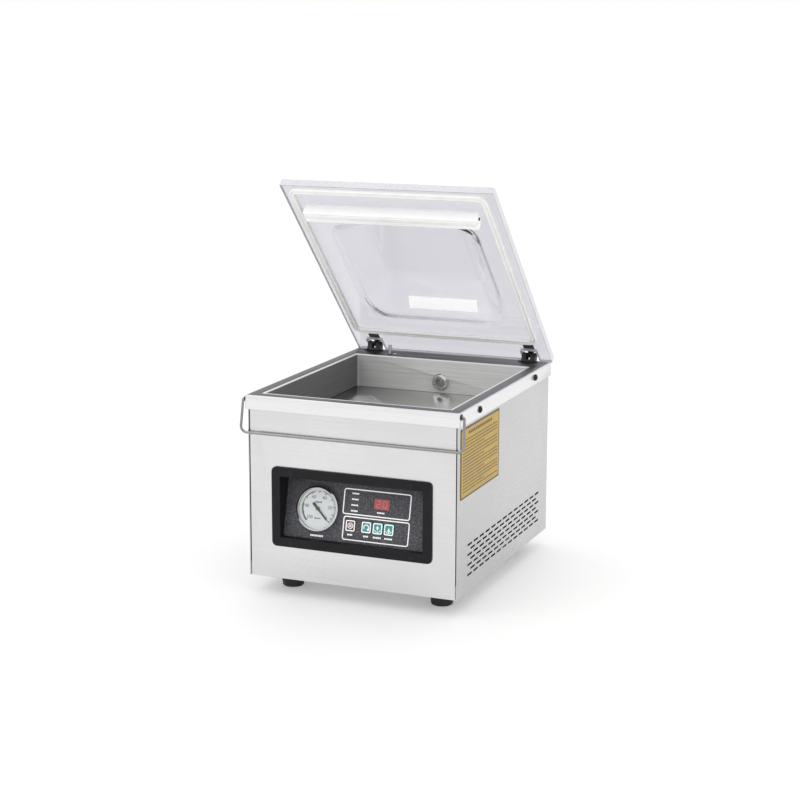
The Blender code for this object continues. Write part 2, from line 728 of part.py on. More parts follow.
def make_hinge_spring(side, word):
    """A torsion spring on the pin, between the knuckle and the inner ear, with its leg on the foot."""
    wire_radius = 0.0005
    coil_radius = PIN_RADIUS + 0.0016
    turns = 2.5
    start = side * HINGE_X - side * (EAR_X - 0.0008)
    pitch = side * 0.00125
    steps = 10
    points = []
    for i in range(int(turns * steps) + 1):
        angle = -pi / 2 + 2 * pi * i / steps
        y = PIVOT_Y + coil_radius * cos(angle)
        z = PIVOT_Z + coil_radius * sin(angle)
        points.append((start + pitch * i / steps, y, z))
    first = Vector(points[0])
    points.insert(0, first + Vector((0, -0.006, -0.0008)))
    return wire(f"hinge_spring_{word}", points, wire_radius, "chromed_wire", 1)


# ---------------------------------------------------------------- latch bail


def make_latch_bail():
    """One bent wire: both ends turn in through the skirt and the bar hangs across the front."""
    corners = []
    for side in (-1, 1):
        half = [(side * BAIL_END_X, BAIL_PIVOT_Y, BAIL_PIVOT_Z),
                (side * BAIL_TOP_X, BAIL_PIVOT_Y, BAIL_PIVOT_Z),
                (side * BAIL_BAR_X, BAIL_BAR_Y, BAIL_BAR_Z)]
        corners += half if side < 0 else half[::-1]
    left = rounded_route(corners[:3], 0.0032, radians(25))
    lower = rounded_route(corners[1:5], 0.009, radians(18))
    right = rounded_route(corners[3:], 0.0032, radians(25))
    return wire("latch_bail", left[:-1] + lower[1:-1] + right[1:], BAIL_RADIUS, "chromed_wire", 2)


def make_latch_bush(side, word):
    """A black bush that lines the bail's hole in the skirt."""
    bore = BAIL_RADIUS + RUNNING
    outside = [(0.0046, 0.0008), (0.0046, GAP), (0.0033, GAP), (0.0033, -0.0028)]
    profile = outside + [(bore, -0.0028), (bore, 0.0008)]
    place = (side * WIDTH / 2, BAIL_PIVOT_Y, BAIL_PIVOT_Z)
    return turned(f"latch_bush_{word}", profile, "black_plastic", place, (0, side * pi / 2, 0), steps=16,
                  closed=True)


# ---------------------------------------------------------------- control panel


def make_panel_bezel():
    """A rim round the opening in the front panel, with a tub behind it that the face closes."""
    front = -PANEL_Y - GAP - BEZEL_THICK
    half_height = (BEZEL_HIGH - BEZEL_LOW) / 2
    rim = rounded_slab("bezel", (-BEZEL_X, BEZEL_X), (-half_height, half_height), (0, BEZEL_THICK),
                       0.007, 4)
    middle = Matrix.Translation((0, front + BEZEL_THICK, (BEZEL_LOW + BEZEL_HIGH) / 2))
    rim.transform(middle @ Matrix.Rotation(pi / 2, 4, "X"))
    bezel = add_part("panel_bezel", rim, "black_plastic")
    bevel(bezel, 0.001, 2, angle=60)
    wall_x = RECESS_X + BEZEL_WALL
    tub = box_helper("bezel_tub", ((-wall_x, wall_x), (front + 0.0015, front + 0.05),
                                   (RECESS_LOW - BEZEL_WALL, RECESS_HIGH + BEZEL_WALL)))
    recess = box_helper("cut_recess", ((-RECESS_X, RECESS_X), (front - 0.01, front + 0.06),
                                       (RECESS_LOW, RECESS_HIGH)))
    behind = box_helper("cut_behind_face", ((-0.2, 0.2), (-GAP, 0.1), (-0.05, 0.15)))
    attach(PANEL, behind)
    join(bezel, tub)
    cut(bezel, recess, behind)
    return bezel


def make_panel_face():
    """The leaned-back face plate, pierced for the gauge, the display and the keys."""
    top = (RECESS_HIGH - RECESS_LOW) / cos(FACE_TILT)
    half_width = RECESS_X + BEZEL_WALL
    face = box("panel_face", (-half_width, half_width), (0, FACE_THICK), (-0.0022, top + 0.0016),
               "grey_panel")
    through = (-0.01, 0.01)
    key_x = KEY_WIDTH / 2 + GAP
    key_v = KEY_HEIGHT / 2 + GAP
    key_spans = [((x - key_x, x + key_x), through, (KEY_V - key_v, KEY_V + key_v)) for x in KEYS.values()]
    cutters = [
        rod_helper("cut_gauge_hole", "y", (GAUGE_X, GAUGE_V), through, 0.0285, 40),
        box_helper("cut_display_hole", (DISPLAY_X, through, DISPLAY_V)),
        box_helper("cut_key_holes", *key_spans),
    ]
    cut(face, *cutters)
    attach(PANEL, face, *cutters)
    return face


def make_gauge():
    """Case, dial, needle and lens, stacked along the gauge's axis, which points out of the face."""
    outward = (pi / 2, 0, 0)
    place = (GAUGE_X, 0, GAUGE_V)
    bezel_ring = [(GAUGE_RADIUS - 0.002, 0.0085), (GAUGE_RADIUS, 0.0075), (GAUGE_RADIUS, GAP)]
    shell = [(0.0280, GAP), (0.0280, -0.016), (0.006, -0.016), (0.006, -0.026), (0, -0.026)]
    hollow = [(0, -0.014), (0.0265, -0.014), (0.0265, 0.0005), (0.0305, 0.0005), (0.0305, 0.0085)]
    case = turned("gauge_case", bezel_ring + shell + hollow,
                  "chromed_wire", place, outward, steps=40, closed=True)
    spindle = [(0, 0.0060), (0.0010, 0.0060), (0.0010, 0.0017)]
    dial = turned("gauge_dial", spindle + [(0.0301, 0.0017), (0.0301, 0.0009), (0, 0.0009)],
                  "white_paper", place, outward, steps=40)
    lens = turned("gauge_lens", [(0, 0.0080), (0.0301, 0.0080), (0.0301, 0.0066), (0, 0.0066)],
                  "clear_glass", place, outward, steps=40)
    attach(PANEL, case, dial, lens)
    needle = box("gauge_needle", (-0.0010, 0.0010), (-0.0040, -0.0034), (-0.0095, 0.0225), "black_plastic")
    for vert in needle.data.vertices:
        if vert.co.z > 0:
            vert.co.x *= 0.3
    hub = rod_helper("needle_hub", "y", (0, 0), (-0.0052, -0.0024), 0.0027, 16)
    bore = rod_helper("cut_needle_bore", "y", (0, 0), (-0.01, 0.01), 0.0010 + RUNNING, 16)
    axis = axis_empty("gauge_needle_axis", (GAUGE_X, 0, GAUGE_V), (0, radians(90) - NEEDLE_REST, 0))
    attach(PANEL, axis)
    attach(axis, needle, hub, bore)
    join(needle, hub)
    cut(needle, bore)
    return case, dial, lens, needle


def make_display_window():
    window = box("display_window", (DISPLAY_X[0] + GAP, DISPLAY_X[1] - GAP), (0.0004, 0.0020),
                 (DISPLAY_V[0] + GAP, DISPLAY_V[1] - GAP), "red_window")
    attach(PANEL, window)
    return window


def make_key(name, x):
    """A cap in its window, with a flange behind the face that keeps it in."""
    key = box(name, (-KEY_WIDTH / 2, KEY_WIDTH / 2), (-0.0013, 0.0042), (-KEY_HEIGHT / 2, KEY_HEIGHT / 2),
              "red_key" if name == "key_stop" else "teal_key")
    bevel(key, 0.0006)
    flange_x = KEY_WIDTH / 2 + 0.0007
    flange_v = KEY_HEIGHT / 2 + 0.001
    flange = box_helper(f"{name}_flange", ((-flange_x, flange_x), (FACE_THICK + GAP, 0.0040),
                                           (-flange_v, flange_v)))
    axis = axis_empty(f"{name}_axis", (x, 0, KEY_V))
    attach(PANEL, axis)
    attach(axis, key, flange)
    join(key, flange)
    return key


def make_control_board():
    """The circuit board behind the keys, with its display block, relay, supply and connector."""
    board = box("control_board", (-0.020, 0.098), (0.0160, 0.0176), (0.004, 0.090), "green_board")
    display_block = ((0.020, 0.056), (0.0100, 0.0165), (0.048, 0.071))
    relay = ((0.064, 0.092), (0.0172, 0.0300), (0.050, 0.080))
    supply = ((-0.012, 0.016), (0.0172, 0.0260), (0.060, 0.084))
    connector = ((-0.012, 0.050), (0.0172, 0.0230), (0.008, 0.020))
    parts = box_helper("board_parts", display_block, relay, supply, connector)
    attach(PANEL, board, parts)
    join(board, parts)
    return board


# ---------------------------------------------------------------- machinery


def make_pump():
    """Pump body with its rotor chamber open towards the motor, and the motor's housing."""
    body = box("pump_body", (SHAFT_X - 0.058, SHAFT_X + 0.058), (0.060, 0.150), (TRAY_TOP, SHAFT_Z + 0.071),
               "cast_iron")
    bevel(body, 0.004, 1)
    chamber = rod_helper("cut_rotor_chamber", "y", (SHAFT_X, SHAFT_Z + 0.006), (0.04, 0.130), 0.038, 28)
    shaft = (SHAFT_X, SHAFT_Z)
    bore = SHAFT_RADIUS + RUNNING
    bearing = rod_helper("cut_rear_bearing", "y", shaft, (0.12, 0.142), bore, 24)
    inlet = rod_helper("pump_inlet_spigot", "z", (SHAFT_X, 0.105), (SHAFT_Z + 0.065, SHAFT_Z + 0.087),
                       0.009, 16)
    join(body, inlet)
    cut(body, chamber, bearing)
    housing = rod("motor_housing", "y", shaft, (-0.085, 0.0597), 0.062, "cast_iron", 32)
    feet = box_helper("motor_feet", ((SHAFT_X - 0.050, SHAFT_X + 0.050), (-0.070, 0.045),
                                     (TRAY_TOP, SHAFT_Z - 0.03)))
    hollow = rod_helper("cut_motor", "y", shaft, (-0.078, 0.07), 0.045, 28)
    front_bearing = rod_helper("cut_front_bearing", "y", shaft, (-0.1, -0.07), bore, 24)
    join(housing, feet)
    cut(housing, hollow, front_bearing)
    return body, housing


def make_rotor():
    """The shaft with its armature and the pump's rotor turned on it, and the fan on its front end."""
    back = (-pi / 2, 0, 0)
    rotor = [(SHAFT_RADIUS, 0.1275), (0.0305, 0.1275), (0.0305, 0.064), (SHAFT_RADIUS, 0.064)]
    armature = [(SHAFT_RADIUS, 0.050), (0.034, 0.050), (0.034, -0.060), (SHAFT_RADIUS, -0.060)]
    profile = [(0, 0.139), (SHAFT_RADIUS, 0.139), *rotor, *armature, (SHAFT_RADIUS, -0.118), (0, -0.118)]
    shaft = turned("rotor_shaft", profile, "inner_steel", (SHAFT_X, 0, SHAFT_Z), back, steps=24)
    for side in (-1, 1):
        reach = sorted((SHAFT_Z + side * 0.017, SHAFT_Z + side * 0.050))
        across = (SHAFT_X - 0.0015, SHAFT_X + 0.0015)
        slot = box_helper(f"cut_vane_slot_{side}", (across, (0.060, 0.130), reach))
        cut(shaft, slot)
    fan = rod("fan_rotor", "y", (SHAFT_X, SHAFT_Z), (-0.114, -0.097), 0.016, "black_plastic", 20)
    for i in range(6):
        blade = box_helper(f"fan_blade_{i}", ((-0.0012, 0.0012), (-0.008, 0.008), (0.012, 0.050)))
        blade.location = (SHAFT_X, -0.1055, SHAFT_Z)
        blade.rotation_euler = (0, i * pi / 3, 0)
        join(fan, blade)
    cut(fan, rod_helper("cut_fan_bore", "y", (SHAFT_X, SHAFT_Z), (-0.13, -0.08), SHAFT_RADIUS + GAP, 20))
    return shaft, fan


def make_fan_cowl():
    """A cup over the fan, with air slots in its front."""
    cowl = rod("fan_cowl", "y", (SHAFT_X, SHAFT_Z), (-0.128, -0.0853), 0.0575, "black_paint", 32)
    cut(cowl, rod_helper("cut_cowl", "y", (SHAFT_X, SHAFT_Z), (-0.1265, -0.08), 0.056, 32))
    cut(cowl, box_helper("cut_cowl_slots", *[((SHAFT_X - 0.035, SHAFT_X + 0.035), (-0.14, -0.12),
                                             (SHAFT_Z + z - 0.003, SHAFT_Z + z + 0.003))
                                            for z in (-0.032, -0.016, 0, 0.016, 0.032)]))
    return cowl


def make_transformer():
    """A laminated core whose middle limb passes through the coil, on two feet."""
    x, y, z = -0.105, 0.070, TRAY_TOP + 0.0327
    core = box("transformer", (x - 0.037, x + 0.037), (y - 0.016, y + 0.016), (z - 0.030, z + 0.030),
               "cast_iron")
    coil = box_helper("transformer_coil", ((x - 0.024, x + 0.024), (y - 0.027, y + 0.027),
                                           (z - 0.0185, z + 0.0185)))
    feet = box_helper("transformer_feet", ((x - 0.045, x + 0.045), (y - 0.012, y + 0.012),
                                           (TRAY_TOP, TRAY_TOP + 0.0042)))
    join(core, coil, feet)
    return core


def make_solenoid_valve():
    x, y, z = -0.085, 0.010, TRAY_TOP
    valve = box("solenoid_valve", (x - 0.018, x + 0.018), (y - 0.018, y + 0.018), (z, z + 0.030),
                "bar_aluminium")
    bevel(valve, 0.0012)
    coil = rod_helper("valve_coil", "z", (x, y), (z + 0.029, z + 0.068), 0.015, 20)
    port = rod_helper("valve_port", "x", (y, z + 0.016), (x - 0.030, x + 0.030), 0.006, 12)
    join(valve, coil, port)
    return valve


def make_vacuum_hose():
    """From the fitting's spigot down behind the tank and forward to the pump's inlet."""
    level = FLOOR_TOP - 0.028
    corners = [(0, 0.175, FLOOR_TOP - 0.001), (0, 0.175, level), (SHAFT_X, 0.105, level),
               (SHAFT_X, 0.105, SHAFT_Z + 0.0874)]
    return wire("vacuum_hose", rounded_route(corners, 0.0145, radians(30)), 0.0085, "black_rubber", 2)


def make_power_inlet():
    """A mains module: a pin socket and a rocker in one moulding that clips into the rear panel."""
    flange_y = (PANEL_Y + GAP, PANEL_Y + 0.0028)
    module = box("power_inlet", (INLET_X - 0.029, INLET_X + 0.029), flange_y,
                 (INLET_Z - 0.0165, INLET_Z + 0.0165),
                 "black_plastic")
    bevel(module, 0.0006)
    body = box_helper("inlet_body", ((INLET_X - 0.0252, INLET_X + 0.0252),
                                     (PANEL_Y - 0.022, PANEL_Y + 0.0010),
                                     (INLET_Z - 0.0138, INLET_Z + 0.0138)))
    socket = box_helper("cut_socket", ((INLET_X - 0.0225, INLET_X + 0.0015),
                                       (PANEL_Y - 0.016, PANEL_Y + 0.01),
                                       (INLET_Z - 0.0083, INLET_Z + 0.0083)))
    pin_spans = []
    for dx, dz in ((-0.007, -0.002), (0, 0.002), (0.007, -0.002)):
        x = INLET_X - 0.0105 + dx
        z = INLET_Z + dz
        pin_spans.append(((x - 0.001, x + 0.001), (PANEL_Y - 0.017, PANEL_Y - 0.002),
                          (z - 0.002, z + 0.002)))
    pins = box_helper("inlet_pins", *pin_spans)
    pocket = box_helper("cut_rocker_pocket", ((ROCKER_X - 0.0072, ROCKER_X + 0.0072),
                                              (PANEL_Y - 0.014, PANEL_Y + 0.01),
                                              (INLET_Z - 0.0110, INLET_Z + 0.0110)))
    trunnion = rod_helper("cut_trunnion_holes", "x", (ROCKER_Y, INLET_Z),
                          (ROCKER_X - 0.0092, ROCKER_X + 0.0092),
                          TRUNNION_RADIUS + RUNNING, 16)
    join(module, body)
    cut(module, socket, pocket, trunnion)
    join(module, pins)
    return module


def make_power_rocker():
    """A rocker that stands pressed at its lower end; it turns on two trunnions inside the module."""
    rocker = box("power_rocker", (-0.0066, 0.0066), (-0.0045, 0.0075), (-0.0088, 0.0088), "black_plastic")
    trunnion = rod_helper("rocker_trunnion", "x", (0, 0), (-0.0088, 0.0088), TRUNNION_RADIUS, 16)
    shapes = [trunnion]
    for side in (-1, 1):
        wedge = box_helper(f"cut_rocker_{side}", ((-0.02, 0.02), (0, 0.02), (-0.03, 0.03)))
        wedge.location = (0, 0.0060, 0)
        wedge.rotation_euler = (side * ROCKER_TILT, 0, 0)
        cut(rocker, wedge)
        shapes.append(wedge)
    join(rocker, trunnion)
    axis = axis_empty("power_rocker_axis", (ROCKER_X, ROCKER_Y, INLET_Z), (-ROCKER_TILT, 0, 0))
    attach(axis, rocker, *shapes)
    return rocker


# ---------------------------------------------------------------- assembly


def build_lid():
    hinge = axis_empty("lid_hinge_axis", Vector((0, PIVOT_Y, PIVOT_Z)))
    pieces = [make_lid_shell(), make_lid_gasket(), *make_pressure_bar(), make_lid_sticker()]
    for side, word in ((-1, "left"), (1, "right")):
        pieces.append(make_hinge_leaf(side, word))
        make_hinge_bracket(side, word)
        make_hinge_pin(side, word)
        make_hinge_spring(side, word)
    helpers = [m.object for piece in pieces for m in piece.modifiers if m.type == "BOOLEAN"]
    hang(hinge, *pieces, *helpers)
    hinge.rotation_euler = (-LID_OPEN, 0, 0)


def build_chamber():
    make_chamber_tank()
    make_suction_fitting()
    make_suction_nut()
    lift = axis_empty("seal_bar_axis", Vector((0, PRESSURE_Y, SEAL_TOP)))
    bar, ribbon, tape = make_seal_bar()
    hang(lift, bar, ribbon, tape)
    for side, word in ((-1, "left"), (1, "right")):
        _, plunger = make_lift(side, word)
        hang(lift, plunger)
    _, pin = make_lid_switch()
    hang(axis_empty("lid_switch_axis", Vector((*SWITCH_PLACE, RIM_TOP))), pin)


def build_casing():
    make_base_tray()
    make_front_panel()
    make_side_panel("left_side_panel", -1)
    make_side_panel("right_side_panel", 1)
    make_rear_panel()
    make_instruction_label()
    for end, y in (("front", -FOOT_Y), ("rear", FOOT_Y)):
        for side, x in (("left", -FOOT_X), ("right", FOOT_X)):
            make_foot(f"foot_{end}_{side}", x, y)


def build_latch():
    axis = axis_empty("latch_bail_axis", Vector((0, BAIL_PIVOT_Y, BAIL_PIVOT_Z)))
    hang(axis, make_latch_bail())
    make_latch_bush(-1, "left")
    make_latch_bush(1, "right")


def build_panel():
    make_panel_bezel()
    make_panel_face()
    make_gauge()
    make_display_window()
    for name, x in KEYS.items():
        make_key(name, x)
    make_control_board()


def build_machinery():
    make_pump()
    axis = axis_empty("motor_axis", Vector((SHAFT_X, 0, SHAFT_Z)))
    hang(axis, *make_rotor())
    make_fan_cowl()
    make_transformer()
    make_solenoid_valve()
    make_vacuum_hose()
    make_power_inlet()
    make_power_rocker()


PANEL = axis_empty("control_panel_tilt", (0, -PANEL_Y + FACE_SETBACK, RECESS_LOW), (-FACE_TILT, 0, 0))
build_casing()
build_chamber()
build_lid()
build_latch()
build_panel()
build_machinery()
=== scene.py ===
"""Looks of the tabletop vacuum chamber sealer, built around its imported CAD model.

Everything is in metres in the model's frame: +Z up, the front faces -Y. The lid's pieces are drawn
closed and turned open by OPEN. Marks on the control panel are drawn in the leaned-back face's own
frame, FACE: x to the right, y up the face, z out of it.
"""

import json
from math import cos, hypot, pi, radians, sin

import bmesh
import bpy
from mathutils import Matrix, Vector


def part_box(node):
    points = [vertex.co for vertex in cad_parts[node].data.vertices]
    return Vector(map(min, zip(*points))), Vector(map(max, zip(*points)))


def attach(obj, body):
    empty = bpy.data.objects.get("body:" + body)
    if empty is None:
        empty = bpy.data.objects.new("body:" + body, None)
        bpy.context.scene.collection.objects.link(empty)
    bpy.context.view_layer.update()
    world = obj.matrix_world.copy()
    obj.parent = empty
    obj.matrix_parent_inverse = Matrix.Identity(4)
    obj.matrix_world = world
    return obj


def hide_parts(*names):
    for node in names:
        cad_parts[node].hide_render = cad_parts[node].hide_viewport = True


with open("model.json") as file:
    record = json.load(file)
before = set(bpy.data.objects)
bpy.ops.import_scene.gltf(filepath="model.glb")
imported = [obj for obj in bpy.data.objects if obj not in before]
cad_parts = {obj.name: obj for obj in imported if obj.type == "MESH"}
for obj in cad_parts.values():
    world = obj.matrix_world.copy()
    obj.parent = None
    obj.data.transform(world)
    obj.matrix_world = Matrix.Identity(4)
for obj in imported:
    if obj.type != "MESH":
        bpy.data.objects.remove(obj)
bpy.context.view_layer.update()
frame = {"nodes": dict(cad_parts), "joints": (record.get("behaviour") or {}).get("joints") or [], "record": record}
NODES = frame["nodes"]
JOINTS = {joint["name"]: joint for joint in frame["joints"]}

# Places taken from the frame
RIM_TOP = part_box("chamber_tank")[1].z
RIM_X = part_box("chamber_tank")[1].x
RIM_Y = -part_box("chamber_tank")[0].y
BEZEL_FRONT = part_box("panel_bezel")[0].y
BEZEL_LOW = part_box("panel_bezel")[0].z
BEZEL_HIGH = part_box("panel_bezel")[1].z
PIVOT = Vector(JOINTS["lid_hinge"]["pos_m"])
LID_OPEN = radians(JOINTS["lid_hinge"]["range_deg"][1])
OPEN = Matrix.Translation(PIVOT) @ Matrix.Rotation(-LID_OPEN, 4, "X") @ Matrix.Translation(-PIVOT)

# Tank: the chamber's walls and floor, the painted highlight round its mouth, the painted shadow along the floor's
# edge and the rim's rolled edge
CHAMBER_DEPTH = 0.052
FLOOR_TOP = RIM_TOP - CHAMBER_DEPTH
CHAMBER_X = 0.1435
CHAMBER_FRONT = -0.183
CHAMBER_REAR = 0.151
LIP_HIGHLIGHT_WIDTH = 0.0030
ROLLED_EDGE = 0.0028
FLOOR_SHADOW_WIDTH = 0.0030

# Lid, closed
LID_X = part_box("lid_shell")[1].x
LID_FRONT = -0.198
LID_REAR = 0.2142
LID_THICK = 0.012
LID_UNDER = RIM_TOP + 0.006
DOME_X = 0.114
DOME_FRONT = -0.116
DOME_REAR = 0.123
DOME_RISE = 0.034
DOME_SIDE_RUN = 0.034
DOME_REAR_RUN = 0.067
DOME_WALL = 0.0085
DOME_CORNER = 0.016
DOME_FOOT = 0.14
DOME_BROW = 0.24
DOME_MIDDLE = 0.5 * (DOME_FRONT + DOME_REAR) - 0.02
HINGE_X = 0.131
NOTCH_HALF = 0.013
NOTCH_FRONT = 0.187
PRESSURE_Y = -0.151
PRESSURE_HALF = 0.1355
MESH_STEP = 0.0028

# Gasket: its run round the lid and its section
GASKET_X = 0.150
GASKET_Y = (-0.1895, 0.1575)
GASKET_CORNER = 0.0105
GASKET_HALF = 0.0045
GASKET_LIP = 0.0013
LIP_OFFSET = 0.0031
GROOVE = 0.0026

# Screws and bracket liners
SKIRT_SCREW_Y = {"front": -0.126, "rear": 0.123}
SKIRT_SCREW_DROP = 0.0095
BEZEL_SCREW_X = 0.0935
LEAF_TOP = LID_UNDER + LID_THICK + 0.0023
LEAF_SCREW_Y = 0.1835
CLAMP_SCREW_X = 0.1300
LINER_Y = (0.1940, 0.1944)

# Control panel
GAUGE_V = 0.044
GAUGE_DIAL = 0.0017
DIAL_ZERO = radians(-45)
DIAL_SWEEP = radians(270)
BAND_RADIUS = 0.0258
TICK_RADIUS = 0.0265
FIGURE_RADIUS = 0.0181
KEY_V = 0.0248
KEY_TOP = 0.0013
KEYS = {"key_stop": -0.0067, "key_set": 0.0180, "key_up": 0.0354, "key_down": 0.0528}
DISPLAY_X = (0.026, 0.050)
DISPLAY_V = (0.0515, 0.0675)
DISPLAY_TOP = -0.0004

# Heights between which ink stands on its surface
INK_LOW = 0.00002
PRINT = 0.00015
LABEL_INK = 0.00010

# Camera
CAMERA_PLACE = (1.036, -2.560, 0.847)
CAMERA_DOWN = 11.97
CAMERA_TURN = 22.9
CAMERA_LENS = 84.5
CAMERA_SHIFT = 0.029


def face_frame():
    """The control panel's face, from the middle of its lower edge, and the gauge's place along it."""
    joint = JOINTS["gauge_needle_turn"]
    out = Vector(joint["axis"]).normalized()
    right = Vector((1, 0, 0))
    up = out.cross(right)
    gauge = Vector(joint["pos_m"])
    origin = gauge - right * gauge.x - up * GAUGE_V
    turn = Matrix((right, up, out)).transposed().to_4x4()
    return Matrix.Translation(origin) @ turn, gauge.x


FACE, GAUGE_X = face_frame()


# ---------------------------------------------------------------- material tools


class Paint:
    """A material under construction, with short calls for the nodes that the finishes share."""

    def __init__(self, name, colour, roughness, metallic=0.0, **inputs):
        self.material = bpy.data.materials.new(name)
        self.material.use_nodes = True
        self.nodes = self.material.node_tree.nodes
        self.links = self.material.node_tree.links
        self.shader = self.nodes["Principled BSDF"]
        self.colour = (*colour, 1.0)
        self.set("Base Color", self.colour)
        self.set("Roughness", roughness)
        self.set("Metallic", metallic)
        for key, value in inputs.items():
            self.set(key.replace("_", " ").title().replace("Ior", "IOR"), value)

    def set(self, socket, value):
        self.shader.inputs[socket].default_value = value

    def feed(self, socket, source):
        self.links.new(source, self.shader.inputs[socket])

    def coordinates(self, kind="Object"):
        return self.nodes.new("ShaderNodeTexCoord").outputs[kind]

    def noise(self, stretch, detail=3.0, roughness=0.5):
        """Noise from 0 to 1 whose grain has this many cells per metre along X, Y and Z."""
        mapping = self.nodes.new("ShaderNodeMapping")
        mapping.inputs["Scale"].default_value = stretch
        self.links.new(self.coordinates(), mapping.inputs["Vector"])
        texture = self.nodes.new("ShaderNodeTexNoise")
        texture.inputs["Scale"].default_value = 1.0
        texture.inputs["Detail"].default_value = detail
        texture.inputs["Roughness"].default_value = roughness
        self.links.new(mapping.outputs["Vector"], texture.inputs["Vector"])
        return texture.outputs["Fac"]

    def math(self, operation, first, second=0.0):
        node = self.nodes.new("ShaderNodeMath")
        node.operation = operation
        for socket, value in zip(node.inputs, (first, second)):
            if isinstance(value, (int, float)):
                socket.default_value = value
            else:
                self.links.new(value, socket)
        return node.outputs["Value"]

    def spread(self, source, low, high, from_low=0.3, from_high=0.7):
        """The source's usual range stretched to this one."""
        node = self.nodes.new("ShaderNodeMapRange")
        node.inputs["From Min"].default_value = from_low
        node.inputs["From Max"].default_value = from_high
        node.inputs["To Min"].default_value = low
        node.inputs["To Max"].default_value = high
        self.links.new(source, node.inputs["Value"])
        return node.outputs["Result"]

    def mix(self, factor, first, second):
        """A colour between two, each a socket or an RGB triple."""
        node = self.nodes.new("ShaderNodeMix")
        node.data_type = "RGBA"
        self.links.new(factor, node.inputs["Factor"])
        for socket, value in ((node.inputs[6], first), (node.inputs[7], second)):
            if isinstance(value, tuple):
                socket.default_value = (*value, 1.0)
            else:
                self.links.new(value, socket)
        return node.outputs[2]

    def blend(self, factor, first, second):
        """A number between two, each a socket or a number."""
        node = self.nodes.new("ShaderNodeMix")
        node.data_type = "FLOAT"
        self.links.new(factor, node.inputs["Factor"])
        for socket, value in ((node.inputs[2], first), (node.inputs[3], second)):
            if isinstance(value, (int, float)):
                socket.default_value = value
            else:
                self.links.new(value, socket)
        return node.outputs[0]

    def bump(self, height, strength, distance):
        node = self.nodes.new("ShaderNodeBump")
        node.inputs["Strength"].default_value = strength
        node.inputs["Distance"].default_value = distance
        self.links.new(height, node.inputs["Height"])
        self.feed("Normal", node.outputs["Normal"])


def shaded(colour, factor):
    """A lighter or darker tone of a colour."""
    return tuple(channel * factor for channel in colour)


def grained(name, colour, roughness, grain, depth, variation=0.12, metallic=0.0, **inputs):
    """A moulded, cast or coated surface: cloudy colour, uneven gloss and a fine grain."""
    paint = Paint(name, colour, roughness, metallic, **inputs)
    clouds = paint.noise((35, 35, 35), 4)
    fine = paint.noise((grain, grain, grain), 2)
    low, high = shaded(colour, 1 - variation), shaded(colour, 1 + variation)
    paint.feed("Base Color", paint.mix(paint.spread(clouds, 0, 1), low, high))
    paint.feed("Roughness", paint.spread(clouds, roughness * 0.85, roughness * 1.15))
    paint.bump(fine, depth, 0.0003)
    return paint.material


def streaks(paint, fine=1400, coarse=260):
    """Brushing lines: along Y on the sides, along X everywhere else."""
    normal = paint.nodes.new("ShaderNodeSeparateXYZ")
    paint.links.new(paint.coordinates("Normal"), normal.inputs["Vector"])
    on_side = paint.math("GREATER_THAN", paint.math("ABSOLUTE", normal.outputs["X"]), 0.7)
    along_x = paint.noise((9, fine, fine), 3, 0.6)
    along_y = paint.noise((fine, 9, fine), 3, 0.6)
    bands_x = paint.noise((2, coarse, coarse), 2)
    bands_y = paint.noise((coarse, 2, coarse), 2)
    lines = paint.blend(on_side, along_x, along_y)
    bands = paint.blend(on_side, bands_x, bands_y)
    return lines, bands, normal


def brushed_steel(name, tone, roughness):
    """Satin stainless sheet with brushing lines, soft bands and faint smudges."""
    paint = Paint(name, (tone, tone, tone), roughness, 1.0)
    lines, bands, _ = streaks(paint)
    smudges = paint.noise((5, 5, 5), 5, 0.6)
    mixed = paint.math("ADD", paint.math("MULTIPLY", lines, 0.75), paint.math("MULTIPLY", bands, 0.25))
    sheet = paint.mix(paint.spread(mixed, 0, 1), (tone * 0.94,) * 3, (tone * 1.06,) * 3)
    wear_and_painted_shade = paint.mix(paint.spread(smudges, 0, 0.5), sheet, (tone * 0.88, tone * 0.88, tone * 0.89))
    paint.feed("Base Color", wear_and_painted_shade)
    wear = paint.math("ADD", paint.spread(mixed, -0.05, 0.05), paint.spread(smudges, -0.03, 0.04))
    paint.feed("Roughness", paint.math("ADD", wear, roughness))
    paint.bump(lines, 0.10, 0.0002)
    return paint.material


